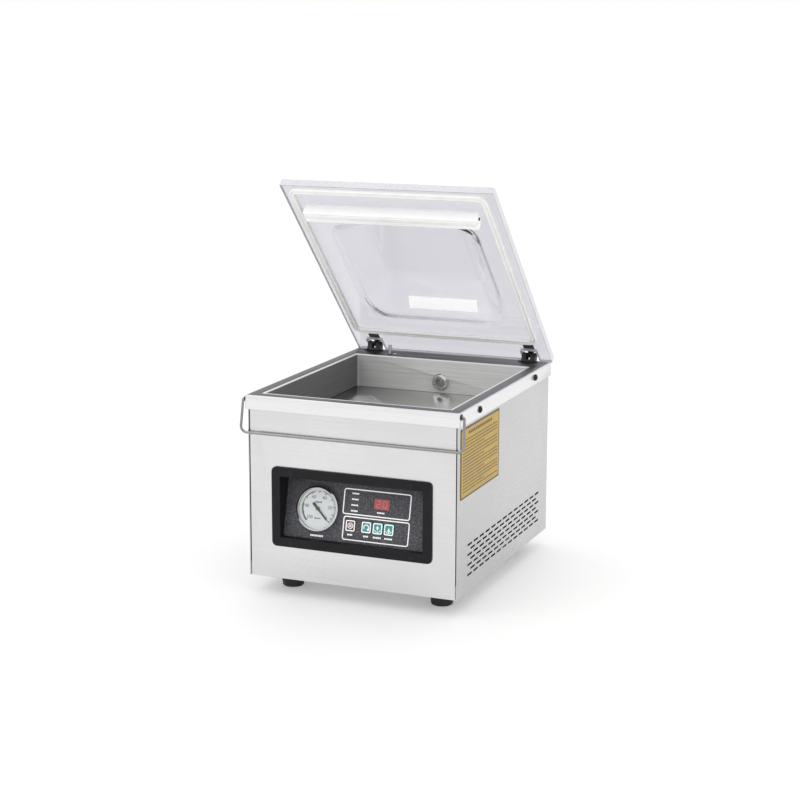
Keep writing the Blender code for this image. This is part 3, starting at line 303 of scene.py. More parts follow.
def tank_zones(paint, place, normal):
    """Masks of the tank's zones, by how far each point lies beyond the chamber's walls."""
    x = paint.math("ABSOLUTE", place.outputs["X"])
    y = paint.math("ABSOLUTE", place.outputs["Y"])
    out_x = paint.math("SUBTRACT", x, CHAMBER_X)
    out_rear = paint.math("SUBTRACT", place.outputs["Y"], CHAMBER_REAR)
    out_front = paint.math("SUBTRACT", CHAMBER_FRONT, place.outputs["Y"])
    beyond = paint.math("MAXIMUM", paint.math("MAXIMUM", out_x, out_rear), out_front)
    to_edge = paint.math("MINIMUM", paint.math("SUBTRACT", RIM_X, x), paint.math("SUBTRACT", RIM_Y, y))
    unrolled = paint.math("SUBTRACT", 1.0, paint.math("LESS_THAN", to_edge, ROLLED_EDGE))
    facing_up = paint.math("GREATER_THAN", normal.outputs["Z"], 0.85)
    at_top = paint.math("GREATER_THAN", place.outputs["Z"], RIM_TOP - 0.0004)
    near_top = paint.math("GREATER_THAN", place.outputs["Z"], RIM_TOP - 0.0014)
    near_floor = paint.math("LESS_THAN", place.outputs["Z"], FLOOR_TOP + 0.01)
    flat = paint.math("MULTIPLY", paint.math("MULTIPLY", facing_up, at_top), unrolled)
    inside = paint.math("LESS_THAN", beyond, 0.0004)
    return {
        "inside": inside,
        "side": paint.math("GREATER_THAN", paint.math("ABSOLUTE", normal.outputs["X"]), 0.7),
        "floor": paint.math("MULTIPLY", facing_up, near_floor),
        "wall": paint.math("MULTIPLY", inside, paint.math("SUBTRACT", 1.0, facing_up)),
        # The floor's edge by the walls, which carries the painted shadow.
        "floor_edge_shadow": paint.math("GREATER_THAN", beyond, -FLOOR_SHADOW_WIDTH),
        "land": paint.math("MULTIPLY", flat, paint.math("GREATER_THAN", beyond, LIP_HIGHLIGHT_WIDTH)),
        # The band round the chamber's mouth, which carries the painted highlight.
        "lip_highlight": paint.math("MULTIPLY", near_top, paint.math("LESS_THAN", beyond, LIP_HIGHLIGHT_WIDTH)),
    }


def tank_colour(paint, grain, x, zones):
    """The sheet's tones, with painted shade on the chamber's side walls, the left ends of its end walls and the
    floor's left half, a painted shadow along the floor's edge, painted shade on the land under the gasket, and a
    painted highlight on the lip.
    """
    plain = paint.mix(grain, (0.752, 0.752, 0.752), (0.84, 0.84, 0.84))
    ends = paint.mix(grain, (0.52, 0.52, 0.515), (0.78, 0.78, 0.77))
    # Painted shade: the end walls darken towards their left ends.
    ends = paint.mix(paint.spread(x, 0.50, 0.0, -CHAMBER_X, -0.03), ends, (0.13, 0.13, 0.13))
    # Painted shade: the side walls take a much darker tone than the end walls.
    sides = paint.mix(grain, (0.11, 0.11, 0.108), (0.20, 0.20, 0.197))
    walls = paint.mix(zones["side"], ends, sides)
    # Painted shade: the floor darkens towards the left.
    floor_left = paint.mix(grain, (0.30, 0.30, 0.295), (0.42, 0.42, 0.41))
    floor_right = paint.mix(grain, (0.66, 0.66, 0.65), (0.82, 0.82, 0.81))
    floor = paint.mix(paint.spread(x, 0, 1, -CHAMBER_X, CHAMBER_X), floor_left, floor_right)
    # Painted shadow along the floor's edge at the foot of the walls.
    floor = paint.mix(zones["floor_edge_shadow"], floor, (0.06, 0.06, 0.06))
    # Painted shade on the rim's land under the gasket, lighter towards the right.
    wear_and_painted_shade = paint.mix(grain, (0.070, 0.069, 0.076), (0.120, 0.118, 0.126))
    bright = paint.mix(grain, (0.170, 0.169, 0.176), (0.270, 0.268, 0.276))
    land = paint.mix(paint.spread(x, 0, 1, 0.0, RIM_X), wear_and_painted_shade, bright)
    colour = paint.mix(zones["inside"], plain, paint.mix(zones["floor"], walls, floor))
    # Painted highlight: the lip round the chamber's mouth is near white.
    return paint.mix(zones["lip_highlight"], paint.mix(zones["land"], colour, land), (0.95, 0.95, 0.95))


def tank_steel(name):
    """The tank's sheet: dull land under the gasket with painted shade on it, a painted highlight on the lip, satin
    walls and a glossier floor.
    """
    paint = Paint(name, (0.80, 0.80, 0.80), 0.3, 1.0)
    lines, bands, normal = streaks(paint)
    place = paint.nodes.new("ShaderNodeSeparateXYZ")
    paint.links.new(paint.coordinates(), place.inputs["Vector"])
    zones = tank_zones(paint, place, normal)
    mixed = paint.math("ADD", paint.math("MULTIPLY", lines, 0.7), paint.math("MULTIPLY", bands, 0.3))
    colour = tank_colour(paint, paint.spread(mixed, 0, 1), place.outputs["X"], zones)
    paint.feed("Base Color", colour)
    satin = paint.blend(zones["inside"], paint.spread(mixed, 0.24, 0.36), paint.spread(mixed, 0.46, 0.60))
    satin = paint.blend(zones["floor"], satin, paint.spread(mixed, 0.12, 0.20))
    satin = paint.blend(zones["land"], satin, paint.spread(mixed, 0.34, 0.46))
    paint.feed("Roughness", satin)
    # The lip's painted highlight is mostly non-metallic so that it shows near white.
    paint.feed("Metallic", paint.blend(zones["lip_highlight"], paint.blend(zones["wall"], 1.0, 0.35), 0.25))
    paint.bump(lines, 0.10, 0.0002)
    return paint.material


def lamp_through(paint, tint):
    """Lets the lamps' light pass straight through, as it does through clear sheet."""
    output = paint.nodes["Material Output"]
    clear = paint.nodes.new("ShaderNodeBsdfTransparent")
    clear.inputs["Color"].default_value = (*tint, 1.0)
    switch = paint.nodes.new("ShaderNodeMixShader")
    path = paint.nodes.new("ShaderNodeLightPath")
    paint.links.new(path.outputs["Is Shadow Ray"], switch.inputs["Fac"])
    paint.links.new(paint.shader.outputs["BSDF"], switch.inputs[1])
    paint.links.new(clear.outputs["BSDF"], switch.inputs[2])
    paint.links.new(switch.outputs["Shader"], output.inputs["Surface"])


def clear_acrylic(name):
    """Cast acrylic: clear with a cool tint, faintly hazed by handling."""
    tint = (0.70, 0.70, 0.745)
    paint = Paint(name, tint, 0.04, transmission_weight=1.0, ior=1.49)
    haze = paint.noise((14, 14, 14), 5, 0.65)
    paint.feed("Roughness", paint.spread(haze, 0.02, 0.09))
    lamp_through(paint, (0.93, 0.93, 0.95))
    return paint.material


def acrylic_edge(name):
    """The sheet's sawn and flamed edge: pale, because it scatters the light that the sheet carries."""
    colour = (0.77, 0.77, 0.80)
    paint = Paint(name, colour, 0.35, transmission_weight=0.12, ior=1.49)
    saw = paint.noise((500, 500, 60), 4)
    paint.feed("Base Color", paint.mix(paint.spread(saw, 0, 1), shaded(colour, 0.92), shaded(colour, 1.08)))
    paint.feed("Roughness", paint.spread(saw, 0.25, 0.45))
    paint.bump(paint.noise((200, 200, 40), 1), 0.02, 0.0002)
    return paint.material


def clear_glass(name):
    """The gauge's lens: almost free of haze."""
    paint = Paint(name, (0.97, 0.98, 0.98), 0.02, transmission_weight=1.0, ior=1.46)
    haze = paint.noise((60, 60, 60), 4, 0.6)
    paint.feed("Roughness", paint.spread(haze, 0.0, 0.012))
    lamp_through(paint, (0.97, 0.97, 0.97))
    return paint.material


def polished(name, tone, roughness):
    """Bright bar and plated parts, with fine drawing lines."""
    paint = Paint(name, (tone, tone, tone), roughness, 1.0)
    fine = paint.noise((260, 260, 260), 4, 0.6)
    paint.feed("Base Color", paint.mix(paint.spread(fine, 0, 1), (tone * 0.9,) * 3, (tone * 1.05,) * 3))
    paint.feed("Roughness", paint.spread(fine, roughness * 0.7, roughness * 1.4))
    paint.bump(fine, 0.012, 0.0002)
    return paint.material


def silicone(name, colour):
    """Milky silicone rubber."""
    paint = Paint(name, colour, 0.38)
    clouds = paint.noise((50, 50, 50), 4)
    milky = paint.mix(paint.spread(clouds, 0, 1), shaded(colour, 0.96), shaded(colour, 1.02))
    paint.feed("Base Color", milky)
    paint.feed("Roughness", paint.spread(clouds, 0.30, 0.46))
    paint.bump(paint.noise((900, 900, 900), 2), 0.06, 0.0002)
    return paint.material


def woven_tape(name):
    """Coated glass cloth: a fine square weave."""
    colour = (0.42, 0.29, 0.16)
    paint = Paint(name, colour, 0.45)
    checker = paint.nodes.new("ShaderNodeTexChecker")
    checker.inputs["Scale"].default_value = 900.0
    paint.links.new(paint.coordinates(), checker.inputs["Vector"])
    clouds = paint.noise((60, 60, 60), 4)
    weave = paint.mix(checker.outputs["Fac"], shaded(colour, 0.85), shaded(colour, 1.1))
    paint.feed("Base Color", paint.mix(paint.spread(clouds, 0, 0.5), weave, shaded(colour, 0.7)))
    paint.feed("Roughness", paint.spread(clouds, 0.38, 0.55))
    paint.bump(checker.outputs["Fac"], 0.15, 0.0001)
    return paint.material


def speckled_face(name):
    """The panel's textured dark film, with pale flecks in it."""
    colour = (0.046, 0.046, 0.054)
    paint = Paint(name, colour, 0.5)
    flecks = paint.noise((520, 520, 520), 3, 0.75)
    clouds = paint.noise((25, 25, 25), 4)
    speckle = paint.mix(paint.spread(flecks, 0, 1, 0.42, 0.64), shaded(colour, 0.45), shaded(colour, 3.2))
    paint.feed("Base Color", paint.mix(paint.spread(clouds, 0, 0.35), speckle, shaded(colour, 0.85)))
    paint.feed("Roughness", paint.spread(clouds, 0.42, 0.60))
    paint.bump(flecks, 0.12, 0.0002)
    return paint.material


def lit_window(name):
    """A red display window, faintly lit from behind through a fine mask."""
    colour = (0.40, 0.100, 0.100)
    paint = Paint(name, colour, 0.25, emission_color=(0.55, 0.06, 0.06, 1.0), emission_strength=0.05)
    grain = paint.noise((1300, 1300, 1300), 2)
    paint.feed("Base Color", paint.mix(paint.spread(grain, 0, 1), shaded(colour, 0.8), shaded(colour, 1.2)))
    paint.feed("Roughness", paint.spread(grain, 0.2, 0.32))
    return paint.material


def pale_floor(name):
    """A matt white floor, lifted a little so that it meets the surround."""
    paint = Paint(name, (0.76, 0.76, 0.76), 0.6, emission_color=(1.0, 1.0, 1.0, 1.0), emission_strength=0.24)
    clouds = paint.noise((3, 3, 3), 4)
    paint.feed("Base Color", paint.mix(paint.spread(clouds, 0, 1), (0.75, 0.75, 0.75), (0.77, 0.77, 0.77)))
    paint.feed("Roughness", paint.spread(clouds, 0.55, 0.68))
    return paint.material


FINISHES = {
    "brushed_steel": brushed_steel("steel_brushed", 0.72, 0.30),
    # The side panels: the front's steel in a darker tone, as painted shade.
    "side_steel_painted_shade": brushed_steel("steel_side_painted_shade", 0.56, 0.28),
    "tank_steel": tank_steel("steel_tank"),
    "inner_steel": brushed_steel("steel_plain", 0.55, 0.34),
    "fitting_steel": polished("steel_fitting", 0.86, 0.26),
    "chromed_wire": polished("steel_bright", 0.62, 0.14),
    "bail_wire": polished("steel_wire", 0.30, 0.22),
    "pin_steel": polished("steel_pin", 0.34, 0.25),
    "bar_aluminium": brushed_steel("aluminium_bar", 0.66, 0.32),
    "clear_acrylic": clear_acrylic("acrylic_clear"),
    "acrylic_edge": acrylic_edge("acrylic_edge"),
    "clear_glass": clear_glass("glass_clear"),
    "pale_silicone": silicone("silicone_pale", (0.93, 0.93, 0.915)),
    # Painted light: a faint glow brightens the white plastic.
    "white_plastic": grained("plastic_white", (0.92, 0.92, 0.915), 0.36, 1200, 0.05, 0.02,
                             emission_color=(1.0, 1.0, 1.0, 1.0), emission_strength=0.10),
    # Painted light: a glow brightens the white paper.
    "white_paper": grained("paper_white", (0.94, 0.94, 0.94), 0.62, 1800, 0.05, 0.02,
                           emission_color=(1.0, 1.0, 1.0, 1.0), emission_strength=0.32),
    # Painted light: a faint glow brightens the dial.
    "dial_card": grained("dial_card", (0.87, 0.89, 0.91), 0.50, 1500, 0.03, 0.03,
                         emission_color=(0.95, 0.97, 1.0, 1.0), emission_strength=0.12),
    "amber_label": grained("label_amber", (0.50, 0.340, 0.075), 0.46, 900, 0.04, 0.10, 0.05,
                            specular_ior_level=0.30),
    "label_ink": grained("label_ink", (0.10, 0.055, 0.035), 0.5, 1500, 0.03),
    "black_plastic": grained("plastic_black", (0.020, 0.020, 0.023), 0.46, 1700, 0.16),
    "bezel_plastic": grained("plastic_bezel", (0.0085, 0.0085, 0.0105), 0.42, 900, 0.30, 0.25,
                             specular_ior_level=0.20),
    "black_rubber": grained("rubber_black", (0.012, 0.012, 0.012), 0.65, 1200, 0.20, 0.25),
    "black_paint": grained("paint_black", (0.012, 0.012, 0.013), 0.34, 1500, 0.06, 0.2),
    "grey_panel": speckled_face("panel_film"),
    "teal_key": grained("key_teal", (0.045, 0.300, 0.285), 0.34, 1500, 0.04),
    "red_key": grained("key_red", (0.130, 0.018, 0.022), 0.34, 1500, 0.04),
    # Painted light: a glow brightens the white ink.
    "white_ink": grained("ink_white", (0.90, 0.90, 0.90), 0.50, 1800, 0.04, 0.04,
                         emission_color=(1.0, 1.0, 1.0, 1.0), emission_strength=0.22),
    "dark_ink": grained("ink_dark", (0.020, 0.020, 0.024), 0.50, 1800, 0.04, 0.1),
    "green_ink": grained("ink_green", (0.02, 0.20, 0.07), 0.50, 1800, 0.04, 0.1),
    "yellow_ink": grained("ink_yellow", (0.62, 0.46, 0.05), 0.50, 1800, 0.04, 0.1),
    "red_ink": grained("ink_red", (0.42, 0.05, 0.05), 0.50, 1800, 0.04, 0.1),
    "red_window": lit_window("window_red"),
    "lit_digit": grained("digit_lit", (0.58, 0.17, 0.165), 0.40, 1500, 0.02, 0.06,
                         emission_color=(1.0, 0.25, 0.22, 1.0), emission_strength=0.06),
    "cast_iron": grained("iron_painted", (0.10, 0.11, 0.12), 0.60, 500, 0.25, 0.2, 0.3),
    "green_board": grained("board_green", (0.03, 0.16, 0.06), 0.45, 900, 0.08, 0.2),
    "tan_tape": woven_tape("tape_woven"),
    "dark_metal": grained("metal_black", (0.020, 0.020, 0.022), 0.30, 900, 0.08, 0.2, 0.6),
}

# What each CAD node wears, by the record's slot unless it is named here
OWN_FINISH = {
    "chamber_tank": "tank_steel",
    "left_side_panel": "side_steel_painted_shade",
    "right_side_panel": "side_steel_painted_shade",
    "suction_fitting": "fitting_steel",
    "suction_nut": "fitting_steel",
    "latch_bail": "bail_wire",
    "lid_switch_pin": "pin_steel",
    "gauge_dial": "dial_card",
    "panel_bezel": "bezel_plastic",
    "hinge_leaf_left": "dark_metal",
    "hinge_leaf_right": "dark_metal",
    "hinge_bracket_left": "dark_metal",
    "hinge_bracket_right": "dark_metal",
}

# Width of the broken edges on these CAD nodes
BROKEN_EDGES = {
    "chamber_tank": 0.0007,
    "front_panel": 0.0004,
    "panel_bezel": 0.0005,
    "display_window": 0.0003,
    "pressure_bar": 0.0012,
    "silicone_strip": 0.0010,
    "seal_bar": 0.0006,
    "hinge_leaf_left": 0.0005,
    "hinge_leaf_right": 0.0005,
    "hinge_bracket_left": 0.0003,
    "hinge_bracket_right": 0.0003,
    "power_rocker": 0.0005,
    "transformer": 0.0010,
}


def dress_cad_nodes():
    """Gives every CAD node its finish, soft shading on its round faces and slightly broken edges."""
    slots = {part["node"]: part["material_slot"] for part in frame["record"]["subparts"]}
    for name, node in NODES.items():
        node.data.materials.clear()
        node.data.materials.append(FINISHES[OWN_FINISH.get(name, slots[name])])
        custom = node.data.attributes.get("custom_normal")
        if custom:
            node.data.attributes.remove(custom)
        node.data.shade_smooth()
        weld = node.modifiers.new("weld", "WELD")
        weld.merge_threshold = 0.000002
        if name in BROKEN_EDGES:
            bevel = node.modifiers.new("broken_edges", "BEVEL")
            bevel.width = BROKEN_EDGES[name]
            bevel.segments = 2
            bevel.limit_method = "ANGLE"
            bevel.angle_limit = radians(40)
            bevel.use_clamp_overlap = True
        split = node.modifiers.new("sharp_edges", "EDGE_SPLIT")
        split.split_angle = radians(32)
        split.use_edge_sharp = False


# ---------------------------------------------------------------- mesh tools


def piece(name, bm, finish, body, matrix=None, smooth=None, bevel=None):
    """Turns a bmesh into a piece that rides on a body."""
    bmesh.ops.recalc_face_normals(bm, faces=bm.faces)
    mesh = bpy.data.meshes.new(name)
    bm.to_mesh(mesh)
    bm.free()
    return place_mesh(name, mesh, finish, body, matrix, smooth, bevel)


def place_mesh(name, mesh, finish, body, matrix=None, smooth=None, bevel=None):
    """Turns a mesh into a piece: smooth is the angle above which its edges stay sharp."""
    if matrix:
        mesh.transform(matrix)
    mesh.materials.append(FINISHES[finish])
    if smooth:
        mesh.shade_smooth()
        mesh.set_sharp_from_angle(angle=radians(smooth))
    obj = bpy.data.objects.new(name, mesh)
    bpy.context.scene.collection.objects.link(obj)
    if bevel:
        modifier = obj.modifiers.new("rounded_edges", "BEVEL")
        modifier.width = bevel
        modifier.segments = 2
        modifier.limit_method = "ANGLE"
        modifier.angle_limit = radians(50)
        modifier.harden_normals = bool(smooth)
    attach(obj, body)
    return obj


def prism(bm, outline, low, high):
    """A flat piece with this outline of (x, y) points, between two heights."""
    rings = [[bm.verts.new((x, y, z)) for x, y in outline] for z in (low, high)]
    count = len(outline)
    bm.faces.new(rings[0][::-1])
    bm.faces.new(rings[1])
    for i in range(count):
        j = (i + 1) % count
        bm.faces.new((rings[0][i], rings[0][j], rings[1][j], rings[1][i]))


def block(bm, x, y, low, high):
    """A box between these limits."""
    prism(bm, [(x[0], y[0]), (x[1], y[0]), (x[1], y[1]), (x[0], y[1])], low, high)


def rounded_loop(x, y, radius, steps=6):
    """(point, outward direction) pairs round a rectangle with rounded corners."""
    corners = [(x[1] - radius, y[1] - radius, 0), (x[0] + radius, y[1] - radius, 1),
               (x[0] + radius, y[0] + radius, 2), (x[1] - radius, y[0] + radius, 3)]
    loop = []
    for cx, cy, quarter in corners:
        for i in range(steps + 1):
            angle = (quarter + i / steps) * pi / 2
            out = Vector((cos(angle), sin(angle)))
            loop.append((Vector((cx, cy)) + out * radius, out))
    return loop


def sweep(bm, loop, profile):
    """Carries a closed profile of (outward, height) points round a closed loop."""
    rings = []
    for point, out in loop:
        ring = []
        for offset, height in profile:
            place = point + out * offset
            ring.append(bm.verts.new((place.x, place.y, height)))
        rings.append(ring)
    for ring, following in zip(rings, rings[1:] + rings[:1]):
        for i in range(len(profile)):
            j = (i + 1) % len(profile)
            bm.faces.new((ring[i], ring[j], following[j], following[i]))


def arc_band(bm, inner, outer, start, end, low, high, steps=16):
    """Part of a flat ring about the origin, from one angle to another."""
    outline = []
    for radius, order in ((inner, range(steps + 1)), (outer, range(steps, -1, -1))):
        for i in order:
            angle = start + (end - start) * i / steps
            outline.append((radius * cos(angle), radius * sin(angle)))
    count = steps + 1
    for i in range(steps):
        quad = [outline[i], outline[i + 1], outline[2 * count - 2 - i], outline[2 * count - 1 - i]]
        prism(bm, quad, low, high)


def tick(bm, angle, inner, outer, width, low, high):
    """A radial mark on a dial."""
    along = Vector((cos(angle), sin(angle)))
    across = Vector((-along.y, along.x)) * width / 2
    corners = [along * inner - across, along * outer - across, along * outer + across, along * inner + across]
    prism(bm, [tuple(corner) for corner in corners], low, high)


def revolve(bm, profile, steps=24):
    """A turned solid about Z from (radius, height) points that start and end on the axis."""
    rings = []
    for radius, height in profile:
        if radius == 0:
            rings.append([bm.verts.new((0, 0, height))])
            continue
        angles = [2 * pi * i / steps for i in range(steps)]
        rings.append([bm.verts.new((radius * cos(angle), radius * sin(angle), height)) for angle in angles])
    for ring, following in zip(rings, rings[1:]):
        for i in range(steps):
            j = (i + 1) % steps
            near = [ring[i % len(ring)], ring[j % len(ring)]]
            far = [following[j % len(following)], following[i % len(following)]]
            corners = list(dict.fromkeys(near + far))
            if len(corners) > 2:
                bm.faces.new(corners)


def text_shape(bm, words, size, centre, low, thickness):
    """Raised figures, centred on a point."""
    curve = bpy.data.curves.new("figures", "FONT")
    curve.body = words
    curve.size = size
    curve.align_x = "CENTER"
    curve.align_y = "CENTER"
    curve.extrude = thickness / 2
    curve.resolution_u = 3
    holder = bpy.data.objects.new("figures", curve)
    bpy.context.scene.collection.objects.link(holder)
    bpy.context.view_layer.update()
    mesh = bpy.data.meshes.new_from_object(holder.evaluated_get(bpy.context.evaluated_depsgraph_get()))
    mesh.transform(Matrix.Translation((*centre, low + thickness / 2)))
    bm.from_mesh(mesh)
    bpy.data.meshes.remove(mesh)
    bpy.data.objects.remove(holder)
    bpy.data.curves.remove(curve)


def pointing(place, direction):
    """The matrix that stands local Z along a direction at a place."""
    return Matrix.Translation(place) @ Vector(direction).to_track_quat("Z", "Y").to_matrix().to_4x4()


# ---------------------------------------------------------------- screws


def screw_mesh(radius, height, recess, flat=False):
    """A screw head with a cross recess, its seat at z = 0."""
    bm = bmesh.new()
    if flat:
        profile = [
            (0, height),
            (radius * 0.86, height),
            (radius * 0.97, height * 0.7),
            (radius, 0.0),
            (radius * 0.9, -height),
            (0, -height),
        ]
    else:
        profile = [(0, height)]
        for i in range(1, 7):
            angle = i / 6 * pi / 2
            profile.append((radius * sin(angle), height * (0.35 + 0.65 * cos(angle))))
        profile += [(radius, 0), (0, 0)]
    revolve(bm, profile, 28)
    bmesh.ops.recalc_face_normals(bm, faces=bm.faces)
    mesh = bpy.data.meshes.new("screw_head")
    bm.to_mesh(mesh)
    bm.free()
    head = bpy.data.objects.new("screw_head", mesh)
    bpy.context.scene.collection.objects.link(head)
    cutters = []
    for turn in (0, pi / 2):
        bm = bmesh.new()
        arm = radius * 0.58
        block(bm, (-arm, arm), (-radius * 0.13, radius * 0.13), height - recess, height * 2 + recess)
        bmesh.ops.recalc_face_normals(bm, faces=bm.faces)
        bmesh.ops.rotate(bm, verts=bm.verts, matrix=Matrix.Rotation(turn, 3, "Z"))
        shape = bpy.data.meshes.new("recess")
        bm.to_mesh(shape)
        bm.free()
        cutter = bpy.data.objects.new("recess", shape)
        bpy.context.scene.collection.objects.link(cutter)
        modifier = head.modifiers.new("recess", "BOOLEAN")
        modifier.operation = "DIFFERENCE"
        modifier.object = cutter
        cutters.append(cutter)
    bpy.context.view_layer.update()
    made = bpy.data.meshes.new_from_object(head.evaluated_get(bpy.context.evaluated_depsgraph_get()))
    for obj in (head, *cutters):
        bpy.data.objects.remove(obj)
    return made


def screw(name, mesh, finish, body, place, direction, turn=0.0, lid=False):
    """One screw: its seat at a place, its head facing a direction, its recess turned by an angle."""
    matrix = pointing(place, direction) @ Matrix.Rotation(turn, 4, "Z")
    copy = mesh.copy()
    copy.materials.clear()
    return place_mesh(name, copy, finish, body, (OPEN if lid else Matrix()) @ matrix, smooth=35)


def make_screws():
    """Pan heads in the skirt, flat ones in the bezel, small ones on the lid, the bar and the switch."""
    pan = screw_mesh(0.0050, 0.0036, 0.0022)
    bezel = screw_mesh(0.0030, 0.0006, 0.0009, flat=True)
    small = screw_mesh(0.0024, 0.0014, 0.0010)
    up = (0, 0, 1)
    for side, word in ((-1, "left"), (1, "right")):
        for end, y in SKIRT_SCREW_Y.items():
            place = (side * RIM_X, y, RIM_TOP - SKIRT_SCREW_DROP)
            screw(f"skirt_screw_{word}_{end}", pan, "dark_metal", "machine",
                  place, (side, 0, 0), 0.4 + y)
        for end, z in (("low", BEZEL_LOW + 0.0065), ("high", BEZEL_HIGH - 0.0070)):
            place = (side * BEZEL_SCREW_X, BEZEL_FRONT, z)
            screw(f"bezel_screw_{word}_{end}", bezel, "dark_metal", "machine",
                  place, (0, -1, 0), 0.3 + z * 9)
        place = (side * HINGE_X, LEAF_SCREW_Y, LEAF_TOP)
        screw(f"leaf_screw_{word}", small, "chromed_wire", "lid",
              place, up, side * 0.9, lid=True)
        place = (side * PRESSURE_HALF, PRESSURE_Y, LID_UNDER - 0.0085)
        screw(f"pressure_screw_{word}", small, "dark_metal", "lid",
              place, (side, 0, 0), 0.5, lid=True)
        place = (side * CLAMP_SCREW_X, PRESSURE_Y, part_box("seal_bar")[1].z - 0.006)
        screw(f"clamp_screw_{word}", small, "chromed_wire", "sealing_bar",
              place, up, 0.7 * side)
    low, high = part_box("lid_switch_pin")
    place = (high.x + 0.0062, (low.y + high.y) / 2, RIM_TOP)
    screw("switch_screw", small, "chromed_wire", "machine", place, up, 0.2)


def make_bracket_liners():
    """A dark tongue behind each hinge bracket's slot: it leaves a slit beside it."""
    for side, word in ((-1, "left"), (1, "right")):
        x = side * HINGE_X
        bm = bmesh.new()
        block(bm, (x - 0.0090, x - 0.0002), LINER_Y, RIM_TOP + 0.0030, RIM_TOP + 0.0125)
        piece(f"bracket_liner_{word}", bm, "dark_metal", "machine")


# ---------------------------------------------------------------- lid


def soft_max(first, second, width):
    """The larger of two numbers, blended where they differ by less than this width."""
    overlap = max(width - abs(first - second), 0.0) / width
    return max(first, second) + overlap * overlap * width / 4


def ramp(t, foot, brow):
    """A straight slope from 0 to 1 with a rounded foot and brow."""
    return -soft_max(-soft_max(t, 0.0, foot), -1.0, brow)


def dome_height(x, y, grow, rise):
    """The dome's height over the lid's underside, for a skin moved outwards by grow from the hollow's."""
    power = 3.0
    stretch = rise / DOME_RISE
    shift_side = grow * hypot(DOME_SIDE_RUN, DOME_RISE) / DOME_RISE
    shift_rear = grow * hypot(DOME_REAR_RUN, DOME_RISE) / DOME_RISE
    rear = y > DOME_MIDDLE
    run_x = DOME_SIDE_RUN * stretch
    run_y = (DOME_REAR_RUN if rear else DOME_SIDE_RUN) * stretch
    inward_x = DOME_X + shift_side - abs(x)
    inward_y = DOME_REAR + shift_rear - y if rear else y - DOME_FRONT + shift_side
    short_x = max(0.0, 1 - inward_x / (run_x + DOME_CORNER))
    short_y = max(0.0, 1 - inward_y / (run_y + DOME_CORNER))
    reach = (short_x ** power + short_y ** power) ** (1 / power)
    share = short_y ** power / max(short_x ** power + short_y ** power, 1e-9)
    across = (1 - reach) * (1 + DOME_CORNER / run_x)
    along = (1 - reach) * (1 + DOME_CORNER / run_y)
    return rise * ramp(across * (1 - share) + along * share, DOME_FOOT, DOME_BROW)


def spaced(marks, step):
    """Values that include every mark, with steps no longer than this between them."""
    values = [marks[0]]
    for low, high in zip(marks, marks[1:]):
        count = max(1, round((high - low) / step))
        values += [low + (high - low) * i / count for i in range(1, count + 1)]
    return values


def make_lid_shell():
    """The clear lid as two skins joined round the plate's edge and the two hinge notches."""
    xs = spaced([-LID_X, -HINGE_X - NOTCH_HALF, -HINGE_X + NOTCH_HALF, 0,
                 HINGE_X - NOTCH_HALF, HINGE_X + NOTCH_HALF, LID_X], MESH_STEP)
    ys = spaced([LID_FRONT, NOTCH_FRONT, LID_REAR], MESH_STEP)

    def open_cell(i, j):
        if not (0 <= i < len(xs) - 1 and 0 <= j < len(ys) - 1):
            return True
        middle_x = (xs[i] + xs[i + 1]) / 2
        middle_y = (ys[j] + ys[j + 1]) / 2
        return middle_y > NOTCH_FRONT and abs(abs(middle_x) - HINGE_X) < NOTCH_HALF

    bm = bmesh.new()
    skins = []
    for grow, rise, least in ((0.0, DOME_RISE, 0.0), (DOME_WALL, DOME_RISE + DOME_WALL, LID_THICK)):
        grid = {}
        for i, x in enumerate(xs):
            for j, y in enumerate(ys):
                height = dome_height(x, y, grow, rise)
                if least:
                    height = soft_max(least, height, 0.005)
                grid[i, j] = bm.verts.new((x, y, LID_UNDER + height))
        skins.append(grid)
    under, over = skins
    for i in range(len(xs) - 1):
        for j in range(len(ys) - 1):
            if open_cell(i, j):
                continue
            ring = [(i, j), (i + 1, j), (i + 1, j + 1), (i, j + 1)]
            bm.faces.new([under[key] for key in ring[::-1]])
            bm.faces.new([over[key] for key in ring])
            beyond = [(i, j - 1), (i + 1, j), (i, j + 1), (i - 1, j)]
            for k, cell in enumerate(beyond):
                if open_cell(*cell):
                    a, b = ring[k], ring[(k + 1) % 4]
                    wall = bm.faces.new((under[a], under[b], over[b], over[a]))
                    wall.material_index = 1
    loose = [vert for vert in bm.verts if not vert.link_faces]
    bmesh.ops.delete(bm, geom=loose, context="VERTS")
    lid = piece("lid_clear_shell", bm, "clear_acrylic", "lid", OPEN, smooth=50, bevel=0.0010)
    lid.data.materials.append(FINISHES["acrylic_edge"])
    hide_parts("lid_shell")


def make_gasket():
    """A ring of silicone with two lips and a groove between them."""
    low = RIM_TOP + 0.0004
    high = LID_UNDER - 0.0002
    profile = [(-GASKET_HALF, high)]
    for centre in (-LIP_OFFSET, LIP_OFFSET):
        for i in range(7):
            angle = pi + i / 6 * pi
            across = centre + GASKET_LIP * cos(angle)
            profile.append((across, low + GASKET_LIP + GASKET_LIP * sin(angle)))
        if centre < 0:
            profile.append((0.0, low + GROOVE))
    profile.append((GASKET_HALF, high))
    loop = rounded_loop((-GASKET_X, GASKET_X), GASKET_Y, GASKET_CORNER, 8)
    bm = bmesh.new()
    sweep(bm, loop, profile)
    gasket = piece("lid_gasket_ring", bm, "pale_silicone", "lid", OPEN, smooth=45)
    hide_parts("lid_gasket")


# ---------------------------------------------------------------- control panel


def dashes(bm, centre, width, height, count, low, high):
    """A short row of marks that stands for a printed caption."""
    pitch = width / count
    for i in range(count):
        left = centre[0] - width / 2 + i * pitch
        block(bm, (left, left + pitch * 0.72), (centre[1] - height / 2, centre[1] + height / 2), low, high)


